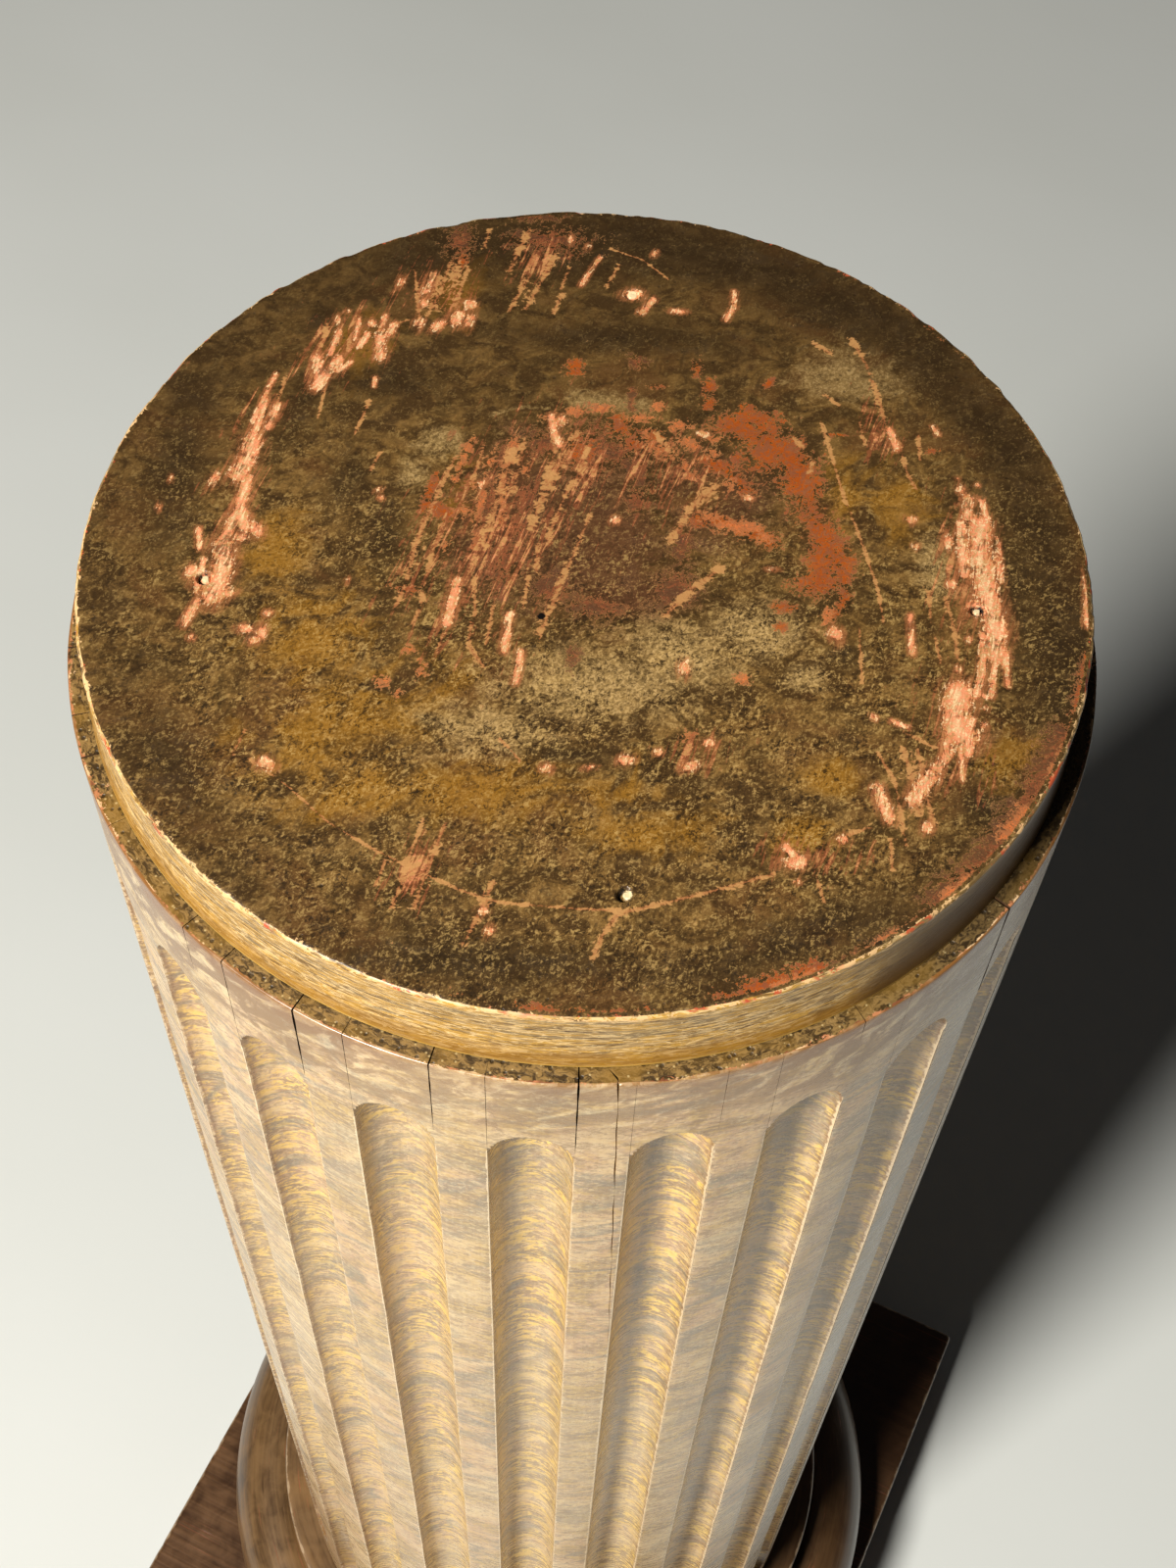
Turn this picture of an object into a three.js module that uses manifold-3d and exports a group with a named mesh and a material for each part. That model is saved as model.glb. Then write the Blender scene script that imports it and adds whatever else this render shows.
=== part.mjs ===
// A fluted pedestal column of painted wood, standing on a square plinth.
// The shaft is built of strips glued edge to edge: a hollow-faced strip for each flute and a plain
// strip for each fillet between two flutes. Units are millimetres, +Z is up, and the origin is the
// middle of the plinth's underside.

import * as THREE from 'three';
import { mergeVertices } from 'three/addons/utils/BufferGeometryUtils.js';
import Module from 'manifold-3d';

const wasm = await Module();
wasm.setup();

// Shaft: a ring of strips
const shaftRadius = 156.5;
const shaftHeight = 890;
const jointGap = 0.3;

// Flutes: each as wide as its strip, stopped short of both ends with a long round end
const fluteCount = 24;
const fluteWidth = 25.3;
const fluteDepth = 10;
const fluteEndLength = 19;
const wallBehindFlute = 18;
const topStop = 36.5;
const footStop = 36.5;
const fluteTurnDegrees = 5.3;

// Cap: a turned disc, a little hollow round its side, with a lip at its foot.
// It leaves a narrow ledge of the strips' ends showing round it.
const capHeight = 26.5;
const ledgeWidth = 5.5;
const capRimEase = 1.2;
const capLip = 1;
const capHollow = 1;

// Round base: a torus with a fillet on it, turned in one piece
const footFilletProjection = 16;
const footFilletHeight = 25;
const footFilletEase = 2.5;
const torusProjection = 37.5;
const torusHeight = 60;

// Plinth: a square board with eased edges
const plinthMargin = 5;
const plinthHeight = 65;
const plinthEase = 2.5;

// Fineness of the round surfaces
const turnedSegments = 60;
const torusSegments = 8;
const easeSegments = 2;
const hollowSegments = 4;
const cutterSegments = 20;
const cutterEndSegments = 4;
const stripFaceSegments = 2;

// Each member stands out from the one above it
const capFootRadius = shaftRadius - ledgeWidth;
const capRadius = capFootRadius - capLip;
const footFilletRadius = shaftRadius + footFilletProjection;
const torusRadius = footFilletRadius + torusProjection;
const plinthSide = 2 * (torusRadius + plinthMargin);

// Heights of the joints between the pieces
const torusBottom = plinthHeight;
const torusTop = torusBottom + torusHeight;
const shaftBottom = torusTop + footFilletHeight;
const shaftTop = shaftBottom + shaftHeight;

// Angles taken by one flute strip and one fillet strip, measured on the shaft's surface
const pitchAngle = 2 * Math.PI / fluteCount;
const fluteAngle = 2 * Math.asin(fluteWidth / 2 / shaftRadius);
const filletAngle = pitchAngle - fluteAngle;
const firstFluteAngle = THREE.MathUtils.degToRad(fluteTurnDegrees);

const darkVarnish = { color: 0x4a3620, roughness: 0.5, metalness: 0 };
const wornVarnish = { color: 0x5b472b, roughness: 0.55, metalness: 0 };
const marblePaint = { color: 0xcfb48c, roughness: 0.5, metalness: 0 };

const column = new THREE.Group();

function addPiece(name, geometry, finish) {
  const piece = new THREE.Mesh(geometry, new THREE.MeshStandardMaterial(finish));
  piece.name = name;
  column.add(piece);
  return piece;
}

function twoDigits(index) {
  return String(index + 1).padStart(2, '0');
}

// Points of an arc from one angle to the other, both ends included
function arc(centreX, centreY, radius, from, to, segments) {
  const points = [];
  for (let i = 0; i <= segments; i += 1) {
    const angle = from + (to - from) * i / segments;
    points.push(new THREE.Vector2(
      centreX + radius * Math.cos(angle),
      centreY + radius * Math.sin(angle),
    ));
  }
  return points;
}

// Turns a profile of (radius, height) points, both ends on the axis, about +Z
function turned(profile, segments) {
  const geometry = new THREE.LatheGeometry(profile, segments);
  geometry.rotateX(Math.PI / 2);
  return geometry;
}

function makePlinth() {
  const inner = plinthSide / 2 - plinthEase;
  const outline = new THREE.Shape([
    new THREE.Vector2(-inner, -inner),
    new THREE.Vector2(inner, -inner),
    new THREE.Vector2(inner, inner),
    new THREE.Vector2(-inner, inner),
  ]);
  const geometry = new THREE.ExtrudeGeometry(outline, {
    depth: plinthHeight - 2 * plinthEase,
    bevelThickness: plinthEase,
    bevelSize: plinthEase,
    bevelSegments: easeSegments,
  });
  geometry.translate(0, 0, plinthEase);
  return geometry;
}

// The torus rounds over until it meets the fillet's side
function makeRoundBase() {
  const tubeRadius = torusHeight / 2;
  const tubeCentre = torusRadius - tubeRadius;
  const roundEnd = Math.acos(Math.max(footFilletRadius - tubeCentre, 0) / tubeRadius);
  const easeCentre = footFilletRadius - footFilletEase;
  return turned([
    new THREE.Vector2(0, torusBottom),
    ...arc(tubeCentre, torusBottom + tubeRadius, tubeRadius, -Math.PI / 2, roundEnd, torusSegments),
    new THREE.Vector2(footFilletRadius, torusTop),
    ...arc(easeCentre, shaftBottom - footFilletEase, footFilletEase, 0, Math.PI / 2, easeSegments),
    new THREE.Vector2(0, shaftBottom),
  ], turnedSegments);
}

function makeCap() {
  const lipTop = shaftTop + capLip;
  const hollowTop = shaftTop + capHeight - capRimEase;
  const side = [];
  for (let i = 0; i < hollowSegments; i += 1) {
    const share = i / hollowSegments;
    const height = THREE.MathUtils.lerp(lipTop, hollowTop, share);
    const radius = THREE.MathUtils.lerp(capFootRadius, capRadius, share);
    side.push(new THREE.Vector2(radius - capHollow * Math.sin(Math.PI * share), height));
  }
  return turned([
    new THREE.Vector2(0, shaftTop),
    new THREE.Vector2(capFootRadius, shaftTop),
    ...side,
    ...arc(capRadius - capRimEase, hollowTop, capRimEase, 0, Math.PI / 2, easeSegments),
    new THREE.Vector2(0, shaftTop + capHeight),
  ], turnedSegments);
}

// A straight strip whose outer face is round and whose sides run parallel to the joint planes,
// half a joint gap inside them. It stands on the foot fillet, its middle on the +X side.
function makeStrip(angle) {
  const halfAngle = angle / 2;
  const faceHalfAngle = halfAngle - Math.asin(jointGap / 2 / shaftRadius);
  const face = arc(0, 0, shaftRadius, -faceHalfAngle, faceHalfAngle, stripFaceSegments);
  const innerX = shaftRadius - fluteDepth - wallBehindFlute;
  const innerY = innerX * Math.tan(halfAngle) - jointGap / 2 / Math.cos(halfAngle);
  const outline = new THREE.Shape([
    ...face,
    new THREE.Vector2(innerX, innerY),
    new THREE.Vector2(innerX, -innerY),
  ]);
  const geometry = new THREE.ExtrudeGeometry(outline, { depth: shaftHeight, bevelEnabled: false });
  geometry.translate(0, 0, shaftBottom);
  return geometry;
}

// The body of the round-nosed cutter's path: a rod along the flute whose ends are half ellipsoids.
// Where an end leaves the shaft's face, it reaches fluteEndLength past the full width.
function makeFluteCutter() {
  const halfWidth = fluteWidth / 2;
  const surfaceX = Math.sqrt(shaftRadius ** 2 - halfWidth ** 2);
  const radius = (halfWidth ** 2 + fluteDepth ** 2) / (2 * fluteDepth);
  const centreX = surfaceX - fluteDepth + radius;
  const stretch = fluteEndLength / halfWidth;
  const lowCentre = shaftBottom + footStop + fluteEndLength;
  const highCentre = shaftTop - topStop - fluteEndLength;
  const roundEnd = arc(0, 0, radius, 0, Math.PI / 2, cutterEndSegments);
  const lowEnd = roundEnd.map((p) => new THREE.Vector2(p.x, lowCentre - p.y * stretch));
  const highEnd = roundEnd.map((p) => new THREE.Vector2(p.x, highCentre + p.y * stretch));
  const geometry = turned([...lowEnd.reverse(), ...highEnd], cutterSegments);
  geometry.rotateZ(Math.PI / cutterSegments);
  geometry.translate(centreX, 0, 0);
  return geometry;
}

function toSolid(geometry) {
  const bare = geometry.clone();
  bare.deleteAttribute('normal');
  bare.deleteAttribute('uv');
  const merged = mergeVertices(bare);
  return new wasm.Manifold(new wasm.Mesh({
    numProp: 3,
    vertProperties: new Float32Array(merged.attributes.position.array),
    triVerts: new Uint32Array(merged.index.array),
  }));
}

function toGeometry(solid) {
  const mesh = solid.getMesh();
  const geometry = new THREE.BufferGeometry();
  geometry.setAttribute('position', new THREE.BufferAttribute(mesh.vertProperties, 3));
  geometry.setIndex(new THREE.BufferAttribute(mesh.triVerts, 1));
  return geometry;
}

function makeFluteStrip() {
  const strip = toSolid(makeStrip(fluteAngle));
  return toGeometry(strip.subtract(toSolid(makeFluteCutter())));
}

addPiece('plinth', makePlinth(), darkVarnish);
addPiece('round_base', makeRoundBase(), darkVarnish);

const fluteStrip = makeFluteStrip();
const filletStrip = makeStrip(filletAngle);
for (let i = 0; i < fluteCount; i += 1) {
  const fluteMiddle = firstFluteAngle + i * pitchAngle;
  addPiece(`flute_stave_${twoDigits(i)}`, fluteStrip, marblePaint).rotation.z = fluteMiddle;
  const filletMiddle = fluteMiddle + pitchAngle / 2;
  addPiece(`fillet_stave_${twoDigits(i)}`, filletStrip, marblePaint).rotation.z = filletMiddle;
}

addPiece('cap', makeCap(), wornVarnish);

export default column;
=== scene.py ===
# A fluted pedestal column of painted wood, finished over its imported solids.
# Sizes are in millimetres unless a line says otherwise. Marks are placed as they are seen from the
# front: x to the right, y away, on the column's axis.
from math import cos, pi, radians, sin, sqrt, tan

import bpy
import numpy as np
from mathutils import Matrix, Vector


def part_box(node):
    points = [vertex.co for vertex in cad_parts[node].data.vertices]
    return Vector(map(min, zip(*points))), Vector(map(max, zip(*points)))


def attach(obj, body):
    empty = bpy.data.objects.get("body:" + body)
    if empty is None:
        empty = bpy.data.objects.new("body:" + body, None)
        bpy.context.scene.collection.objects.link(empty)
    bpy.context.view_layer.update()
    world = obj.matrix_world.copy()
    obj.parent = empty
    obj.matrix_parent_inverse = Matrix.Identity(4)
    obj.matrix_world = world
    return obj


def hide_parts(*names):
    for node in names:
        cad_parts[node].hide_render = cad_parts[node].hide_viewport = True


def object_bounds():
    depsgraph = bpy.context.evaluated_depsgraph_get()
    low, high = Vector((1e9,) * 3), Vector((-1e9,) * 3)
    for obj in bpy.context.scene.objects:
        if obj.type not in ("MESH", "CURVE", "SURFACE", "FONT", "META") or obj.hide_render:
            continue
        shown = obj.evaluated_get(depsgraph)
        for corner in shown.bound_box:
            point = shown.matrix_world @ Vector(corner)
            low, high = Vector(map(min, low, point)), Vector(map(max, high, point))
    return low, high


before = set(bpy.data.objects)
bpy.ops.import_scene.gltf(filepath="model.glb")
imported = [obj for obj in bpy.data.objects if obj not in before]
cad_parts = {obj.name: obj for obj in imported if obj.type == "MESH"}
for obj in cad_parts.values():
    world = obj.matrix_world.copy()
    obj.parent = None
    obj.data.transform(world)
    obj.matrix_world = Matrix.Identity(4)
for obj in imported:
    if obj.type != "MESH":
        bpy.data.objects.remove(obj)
cadLow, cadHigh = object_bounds()

mm = 0.001
viewTurn = radians(23.63)  # from the front, as the marks are placed, to the solids' own axes
sharpAngle = radians(38)  # edges steeper than this stay sharp in the shading


# Sizes read from the solids

def nodePoints(name):
    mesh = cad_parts[name].data
    points = np.zeros(len(mesh.vertices) * 3)
    mesh.vertices.foreach_get("co", points)
    return points.reshape(-1, 3) / mm


def nodeHeights(name):
    low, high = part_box(name)
    return low.z / mm, high.z / mm


def nodeRadius(name):
    points = nodePoints(name)
    return np.hypot(points[:, 0], points[:, 1]).max()


def nodeMiddle(name):
    # the angle of the mean point, in radians from +X
    mean = nodePoints(name).mean(0)
    return np.arctan2(mean[1], mean[0])


def nodeHalfAngle(name):
    # half the angle between the outermost corners of a strip
    points = nodePoints(name)
    reach = np.hypot(points[:, 0], points[:, 1])
    outer = points[reach > reach.max() - 0.1]
    offset = np.arctan2(outer[:, 1], outer[:, 0]) - nodeMiddle(name)
    return np.abs((offset + pi) % (2 * pi) - pi).max()


fluteNames = sorted(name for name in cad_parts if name.startswith("flute_stave"))
filletNames = sorted(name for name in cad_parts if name.startswith("fillet_stave"))
shaftLow, shaftTop = nodeHeights(filletNames[0])
shaftRadius = nodeRadius(filletNames[0])
stripInner = np.hypot(*nodePoints(filletNames[0])[:, :2].T).min()
capTop = nodeHeights("cap")[1]
print("frame read:", len(fluteNames), "flutes, shaft radius", round(shaftRadius, 2))


# Numbers that vary smoothly, the same in each run

def ripple(angle, seed, waves=9, lowest=2, highest=40):
    # a sum of sines round the circle, each with its own count, strength and start, about -1 to 1
    dice = np.random.default_rng(seed)
    counts = dice.integers(lowest, highest, waves)
    starts = dice.uniform(0, 2 * pi, waves)
    sizes = dice.uniform(0.4, 1, waves)
    waved = np.sin(np.multiply.outer(angle, counts) + starts) * sizes
    return waved.sum(-1) / sizes.sum() * 1.6


def unevenness(x, y, cell, seed):
    # random values on a square net of cells, blended smoothly between its knots, from -1 to 1
    dice = np.random.default_rng(seed)
    size, start = 256, 64
    net = dice.uniform(-1, 1, (size, size))
    column, row = x / cell + start, y / cell + start
    column0, row0 = np.floor(column).astype(int), np.floor(row).astype(int)
    across, along = column - column0, row - row0
    across = across * across * (3 - 2 * across)
    along = along * along * (3 - 2 * along)

    def corner(i, j):
        return net[(row0 + j) % size, (column0 + i) % size]

    low = corner(0, 0) * (1 - across) + corner(1, 0) * across
    high = corner(0, 1) * (1 - across) + corner(1, 1) * across
    return low * (1 - along) + high * along


def smoothStep(value, low, high):
    # 0 up to low and 1 from high on; between them 3 share^2 - 2 share^3
    share = np.clip((value - low) / (high - low), 0, 1)
    return share * share * (3 - 2 * share)


def fade(distance, reach):
    # a bell, 1 in its middle: e to the power -(distance / reach)^2
    return np.exp(-(distance / reach) ** 2)


def softLower(first, second, reach):
    # the lower of two surfaces, rounded over where they come within reach of each other
    near = np.clip(reach - np.abs(first - second), 0, None) / reach
    return np.minimum(first, second) - near * near * reach / 4


# Meshes

def closedMesh(name, rings, materials, quadKinds=None, fanKinds=(0, 0), values=None):
    # rows of points round the piece, from its lowest row to its highest: point = rings[row, column].
    # Each end is closed by a fan to the mean point of its last row.
    rows, columns = rings.shape[:2]
    points = np.vstack([rings[0].mean(0), rings.reshape(-1, 3), rings[-1].mean(0)]) * mm
    here = 1 + np.arange(rows * columns).reshape(rows, columns)
    ahead = np.roll(here, -1, axis=1)
    quads = np.stack([here[:-1], ahead[:-1], ahead[1:], here[1:]], axis=-1)
    lowFan = np.stack([np.zeros(columns, int), ahead[0], here[0]], -1)
    highFan = np.stack([np.full(columns, len(points) - 1), here[-1], ahead[-1]], -1)
    corners = np.concatenate([quads.ravel(), lowFan.ravel(), highFan.ravel()])
    counts = np.concatenate([np.full((rows - 1) * columns, 4), np.full(2 * columns, 3)])
    mesh = bpy.data.meshes.new(name)
    mesh.vertices.add(len(points))
    mesh.vertices.foreach_set("co", points.ravel())
    mesh.loops.add(len(corners))
    mesh.loops.foreach_set("vertex_index", corners)
    mesh.polygons.add(len(counts))
    mesh.polygons.foreach_set("loop_start", np.cumsum(counts) - counts)
    for material in materials:
        mesh.materials.append(material)
    if quadKinds is None:
        quadKinds = np.zeros((rows - 1, columns), int)
    ends = np.repeat(np.array(fanKinds), columns)
    mesh.polygons.foreach_set("material_index", np.concatenate([quadKinds.ravel(), ends]))
    mesh.update(calc_edges=True)
    mesh.polygons.foreach_set("use_smooth", np.ones(len(counts), bool))
    mesh.set_sharp_from_angle(angle=sharpAngle)
    for label, value in (values or {}).items():
        size = value.shape[2:] or (1,)
        flat = value.reshape(rows, columns, *size)
        full = np.vstack([flat[0].mean(0)[None], flat.reshape(-1, *size), flat[-1].mean(0)[None]])
        kind, field = ("FLOAT", "value") if size == (1,) else ("FLOAT_VECTOR", "vector")
        attribute = mesh.attributes.new(label, kind, "POINT")
        attribute.data.foreach_set(field, full.astype(np.float32).ravel())
    return mesh


def addPiece(name, mesh, slot, *nodes):
    piece = bpy.data.objects.new(name, mesh)
    bpy.context.scene.collection.objects.link(piece)
    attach(piece, "root")
    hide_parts(*nodes)


def turned(x, y, angle):
    # places turned about the axis: x cos - y sin, and x sin + y cos
    return x * cos(angle) - y * sin(angle), x * sin(angle) + y * cos(angle)


def arcPoints(centreX, centreY, radius, first, last, count):
    # a circle's points from one angle to another: centre + radius * (cos, sin)
    angle = np.linspace(first, last, count)
    return np.stack([centreX + radius * np.cos(angle), centreY + radius * np.sin(angle)], -1)


# Nodes of the materials

def tone(red, green, blue):
    # a colour as a screen shows it, 0 to 255, made linear
    share = np.array([red, green, blue]) / 255
    linear = np.where(share <= 0.04045, share / 12.92, ((share + 0.055) / 1.055) ** 2.4)
    return (*linear.tolist(), 1.0)


class Signal:
    # what a node gives, so that sums and products of it make their own nodes
    def __init__(self, socket):
        self.socket = socket

    def __add__(self, other):
        return calc("ADD", self, other)

    def __sub__(self, other):
        return calc("SUBTRACT", self, other)

    def __rsub__(self, other):
        return calc("SUBTRACT", other, self)

    def __mul__(self, other):
        return calc("MULTIPLY", self, other)

    def __abs__(self):
        return calc("ABSOLUTE", self)


easel = {"tree": None}  # the node tree that new nodes go into


def give(kind, inputs=None, output=0, **settings):
    # a new node's output
    tree = easel["tree"]
    node = tree.nodes.new(kind)
    for key, value in settings.items():
        setattr(node, key, value)
    for key, value in (inputs or {}).items():
        if isinstance(value, Signal):
            tree.links.new(value.socket, node.inputs[key])
        else:
            node.inputs[key].default_value = value
    return Signal(node.outputs[output])


def calc(operation, first, second=0.0):
    # one sum or product, for every place on the surface
    return give("ShaderNodeMath", {0: first, 1: second}, operation=operation)


def level(value, low, high, lowTo=0.0, highTo=1.0):
    # lowTo where the value is low, highTo where it is high, and a smooth step between them
    inputs = {"Value": value, "From Min": low, "From Max": high, "To Min": lowTo, "To Max": highTo}
    return give("ShaderNodeMapRange", inputs, interpolation_type="SMOOTHSTEP")


def blend(share, first, second):
    return give("ShaderNodeMix", {0: share, 6: first, 7: second}, 2, data_type="RGBA")


def field(name, output="Fac"):
    return give("ShaderNodeAttribute", output=output, attribute_name=name)


def part(vector, axis):
    return give("ShaderNodeSeparateXYZ", {0: vector}, axis)


def objectPlace():
    return give("ShaderNodeTexCoord", output="Object")


def placed(where, size, turn=0.0, shift=0.0):
    # one unit of the pattern becomes size millimetres, turned by degrees about the third axis. It starts
    # off the noise's own net of knots, where the noise would show it.
    scale = [length * mm for length in size]
    start = [(cell + 37 * shift) * length for cell, length in zip((0.31, 0.43, 0.37), scale)]
    inputs = {"Vector": where, "Location": start, "Rotation": (0, 0, radians(turn)), "Scale": scale}
    return give("ShaderNodeMapping", inputs, vector_type="TEXTURE")


def cloud(where, size, detail=3.0, rough=0.5, warp=0.0, turn=0.0, shift=0.0):
    # a soft random pattern about 0.5, whose blots have the given size in millimetres
    vector = placed(where, size, turn, shift)
    inputs = {"Vector": vector, "Scale": 1.0, "Detail": detail, "Roughness": rough, "Distortion": warp}
    return give("ShaderNodeTexNoise", inputs)


def dots(where, size, radius, shift=0.0):
    # 1 inside a spot round each point of a random net, and 0 outside
    inputs = {"Vector": placed(where, (size, size, size), 0.0, shift), "Scale": 1.0, "Randomness": 1.0}
    return level(give("ShaderNodeTexVoronoi", inputs, "Distance"), radius, radius * 0.5)


class Paint:
    # a material whose colour is laid on in coats, each in one of its tones
    def __init__(self, name, tones, specular=0.5, coat=0.0, coatRoughness=0.3):
        self.material = bpy.data.materials.new(name)
        self.material.use_nodes = True
        easel["tree"] = self.material.node_tree
        self.shader = self.material.node_tree.nodes["Principled BSDF"]
        self.shader.inputs["Specular IOR Level"].default_value = specular
        self.shader.inputs["Coat Weight"].default_value = coat
        self.shader.inputs["Coat Roughness"].default_value = coatRoughness
        self.tones = tones
        self.colour = None

    def mix(self, share, first, second):
        # each of the two is a tone's name or a colour already mixed
        first, second = (self.tones[key] if isinstance(key, str) else key for key in (first, second))
        return blend(share, first, second)

    def start(self, first, second, share):
        self.colour = self.mix(share, first, second)

    def lay(self, coat, share):
        self.colour = self.mix(share, self.colour, coat)

    def finish(self, roughness, relief, depth):
        # depth is how high the relief stands, in millimetres
        normal = give("ShaderNodeBump", {"Height": relief, "Distance": depth * mm, "Strength": 1.0})
        for key, value in (("Base Color", self.colour), ("Roughness", roughness), ("Normal", normal)):
            easel["tree"].links.new(value.socket, self.shader.inputs[key])
        return self.material


# Paint of the shaft: a pinkish beige ground, yellow wisps dragged round it, grey veins

marble = {
    "ground": tone(191, 158, 114),
    "pink": tone(194, 154, 118),
    "shade": tone(148, 116, 74),
    "yellow": tone(236, 194, 98),
    "grey": tone(128, 116, 100),
    "shadedSideGrey": tone(108, 108, 102),
    "pale": tone(236, 208, 158),
    "glaze": tone(140, 104, 62),
    "brown": tone(128, 82, 38),
    "speck": tone(52, 34, 20),
    "worn": tone(236, 208, 168),
    "rubbed": tone(214, 142, 104),
    "foot": tone(110, 76, 42),
}


def makeMarblePaint():
    paint = Paint("marblePaint", marble, 0.72)
    where = field("wrap", "Vector")
    around, height = part(where, 0), part(where, 1)
    flute, edge, ragged = field("flute"), field("edge"), field("ragged")
    broad = cloud(where, (64, 120, 64), 3, 0.55, 0.6)
    patch = cloud(where, (30, 22, 30), 3, 0.55, 0.6, shift=0.31)
    wisp = cloud(where, (15, 5.5, 15), 3, 0.55, 2.4, -12, 0.11)
    curl = cloud(where, (6.5, 3.6, 6.5), 3, 0.6, 2.8, 24, 0.57)
    brush = cloud(where, (9, 1.5, 9), 4, 0.7, 1.3, shift=0.71)
    slant = cloud(where, (8, 1.1, 8), 3, 0.7, 1.0, -28, 0.37)
    drag = cloud(where, (1.3, 22, 1.3), 3, 0.6, 0.6, shift=0.91)
    grit = cloud(where, (1.5, 1.2, 1.5), 2, 0.7, 0.0, shift=0.13)
    paint.start("ground", "pink", level(broad, 0.4, 0.6))
    paint.lay("shade", level(patch, 0.48, 0.6, 0, 0.7))
    paint.lay("pale", level(patch, 0.48, 0.38, 0, 0.35))
    wet = wisp * 0.6 + curl * 0.4
    wispShare = level(wet, 0.495, 0.54) * level(patch, 0.38, 0.56, 0.45, 1)
    paint.lay("yellow", wispShare * level(flute, 0, 0.3, 0.34, 1))
    paint.lay("shade", level(wet, 0.485, 0.44, 0, 0.55))
    vein = cloud(where, (150, 70, 150), 3, 0.55, 1.6, 18, 0.53)
    veinShare = level(abs(vein - 0.5), 0.036, 0) * level(broad, 0.35, 0.6, 0.4, 0.85)
    paint.lay("grey", veinShare * level(curl, 0.3, 0.55))
    strokes = brush * 0.5 + slant * 0.5
    lines = strokes * 0.55 + drag * 0.13 + grit * 0.32
    paint.lay("pale", level(lines, 0.5, 0.58, 0, 0.42))
    paint.lay("shade", level(lines, 0.5, 0.42, 0, 0.42))
    # greyer on the right, as seen from the front, the side away from the light: painted shade and painted
    # reflection, kept off the flutes
    paint.lay("shadedSideGrey", level(around, 0.08, 0.13, 0, 0.3) * level(flute, 0.25, 0))
    speckNet = placed(where, (22, 26, 22))
    speck = give("ShaderNodeTexVoronoi", {"Vector": speckNet, "Scale": 1.0, "Randomness": 1.0}, "Distance")
    speck = level(speck, 0.045, 0.0225) * level(patch, 0.46, 0.54)
    paint.lay("speck", speck * 0.85)

    # a brown line a little inside the flutes' arrises: rubbed paint, which along the left arrises, as seen at
    # the front, is also painted shade; and the paint rubbed pale along them
    inside = level(flute, 0, 0.05) * level(flute, 0.3, 0.1)
    paint.lay("brown", inside * level(drag, 0.4, 0.6, 0.15, 0.75))
    rub = cloud(where, (2.0, 2.6, 2.0), 3, 0.65, 0.4, shift=0.19)
    left = edge + (rub - 0.5) * (ragged * 2.4 + 1) + ragged * -0.32
    kind = cloud(where, (11, 8, 11), 2, 0.6, 0.4, shift=0.29)
    bare = paint.mix(level(kind, 0.46, 0.54), "worn", "rubbed")
    paint.lay(paint.mix(ragged, "worn", bare), level(left, 0.55, 0.75) * 0.85)

    # glaze and clouds in the band over the flutes, darker at the sides and under the ledge; darker brown at
    # the foot
    aside = level(abs(around), 0.03, 0.11, 0.4, 0.8)
    band = level(height + patch * 0.02, 1.0, 1.03)
    blotch = cloud(where, (13, 7, 13), 4, 0.66, 0.8, 24, 0.77)
    paint.lay("glaze", band * aside * level(blotch, 0.4, 0.58, 0.15, 1.5))
    paint.lay("pale", band * level(blotch, 0.49, 0.36, 0, 0.32))
    underLedge = level(height + blotch * 0.012, (shaftTop - 6) * mm, (shaftTop + 4) * mm)
    paint.lay("brown", underLedge * aside)
    toLeft = level(around, -0.08, -0.16, 0, -0.12)
    paint.lay("foot", level(height + broad * 0.12 + toLeft, 0.36, 0.19, 0, 0.55))
    relief = lines * 0.9 + wet * 0.4 + speck * -0.8
    return paint.finish(level(wet + broad * 0.5, 0.5, 1, 0.22, 0.36), relief, 0.07)


# Bare and dirty wood in the joints, behind the strips and under them

gapWood = {"light": tone(92, 62, 36), "dark": tone(40, 25, 14)}


def makeGapWood():
    paint = Paint("gapWood", gapWood, 0.3)
    grain = cloud(objectPlace(), (5, 5, 90), 4, 0.6, 0.4)
    paint.start("dark", "light", level(grain, 0.3, 0.7))
    return paint.finish(level(grain, 0.3, 0.7, 0.75, 0.9), grain, 0.2)


# Dark ledge round the cap: the strips' ends, glazed olive brown and rubbed along their outer edge

ledge = {
    "dark": tone(58, 42, 20),
    "light": tone(136, 106, 58),
    "yellow": tone(132, 98, 36),
    "grit": tone(206, 180, 126),
    "cream": tone(226, 186, 140),
    "rubbed": tone(186, 120, 80),
    "brick": tone(126, 72, 44),
    "deep": tone(30, 21, 11),
}


def makeLedgeGlaze():
    paint = Paint("ledgeGlaze", ledge)
    where = field("wrap", "Vector")
    mottle = cloud(where, (2.8, 2.6, 1.6), 4, 0.7, 0.9)
    gold = cloud(where, (26, 20, 12), 2, 0.5, 0.3, shift=0.4)
    pit = dots(where, 3.4, 0.24, 0.2)
    paint.start("dark", "light", level(mottle, 0.4, 0.6))
    paint.lay("yellow", level(gold, 0.5, 0.66, 0, 0.6))
    paint.lay("deep", pit * 0.75)
    paint.lay("grit", dots(where, 2.3, 0.2, 0.7) * 0.55)
    # darker to the right, as seen from the front, the side away from the light: painted shade
    paint.lay("deep", level(part(where, 0), 0.06, 0.15, 0, 0.5))
    rub = cloud(where, (2.8, 2.2, 1.8), 4, 0.72, 0.8, shift=0.6)
    kind = cloud(where, (11, 8, 8), 2, 0.6, 0.4, shift=0.27)
    bare = paint.mix(level(kind, 0.44, 0.5), "cream", "rubbed")
    bare = paint.mix(level(kind, 0.56, 0.6), bare, "brick")
    paint.lay(bare, level(field("edge") + rub * 3.2, 2.4, 2.55) * 0.9)
    return paint.finish(level(mottle, 0.3, 0.7, 0.4, 0.6), mottle + pit * -0.7, 0.25)


# Side of the cap: the same marbling drawn out round it, browner along its foot, and darker to the right with
# painted shade

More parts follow.
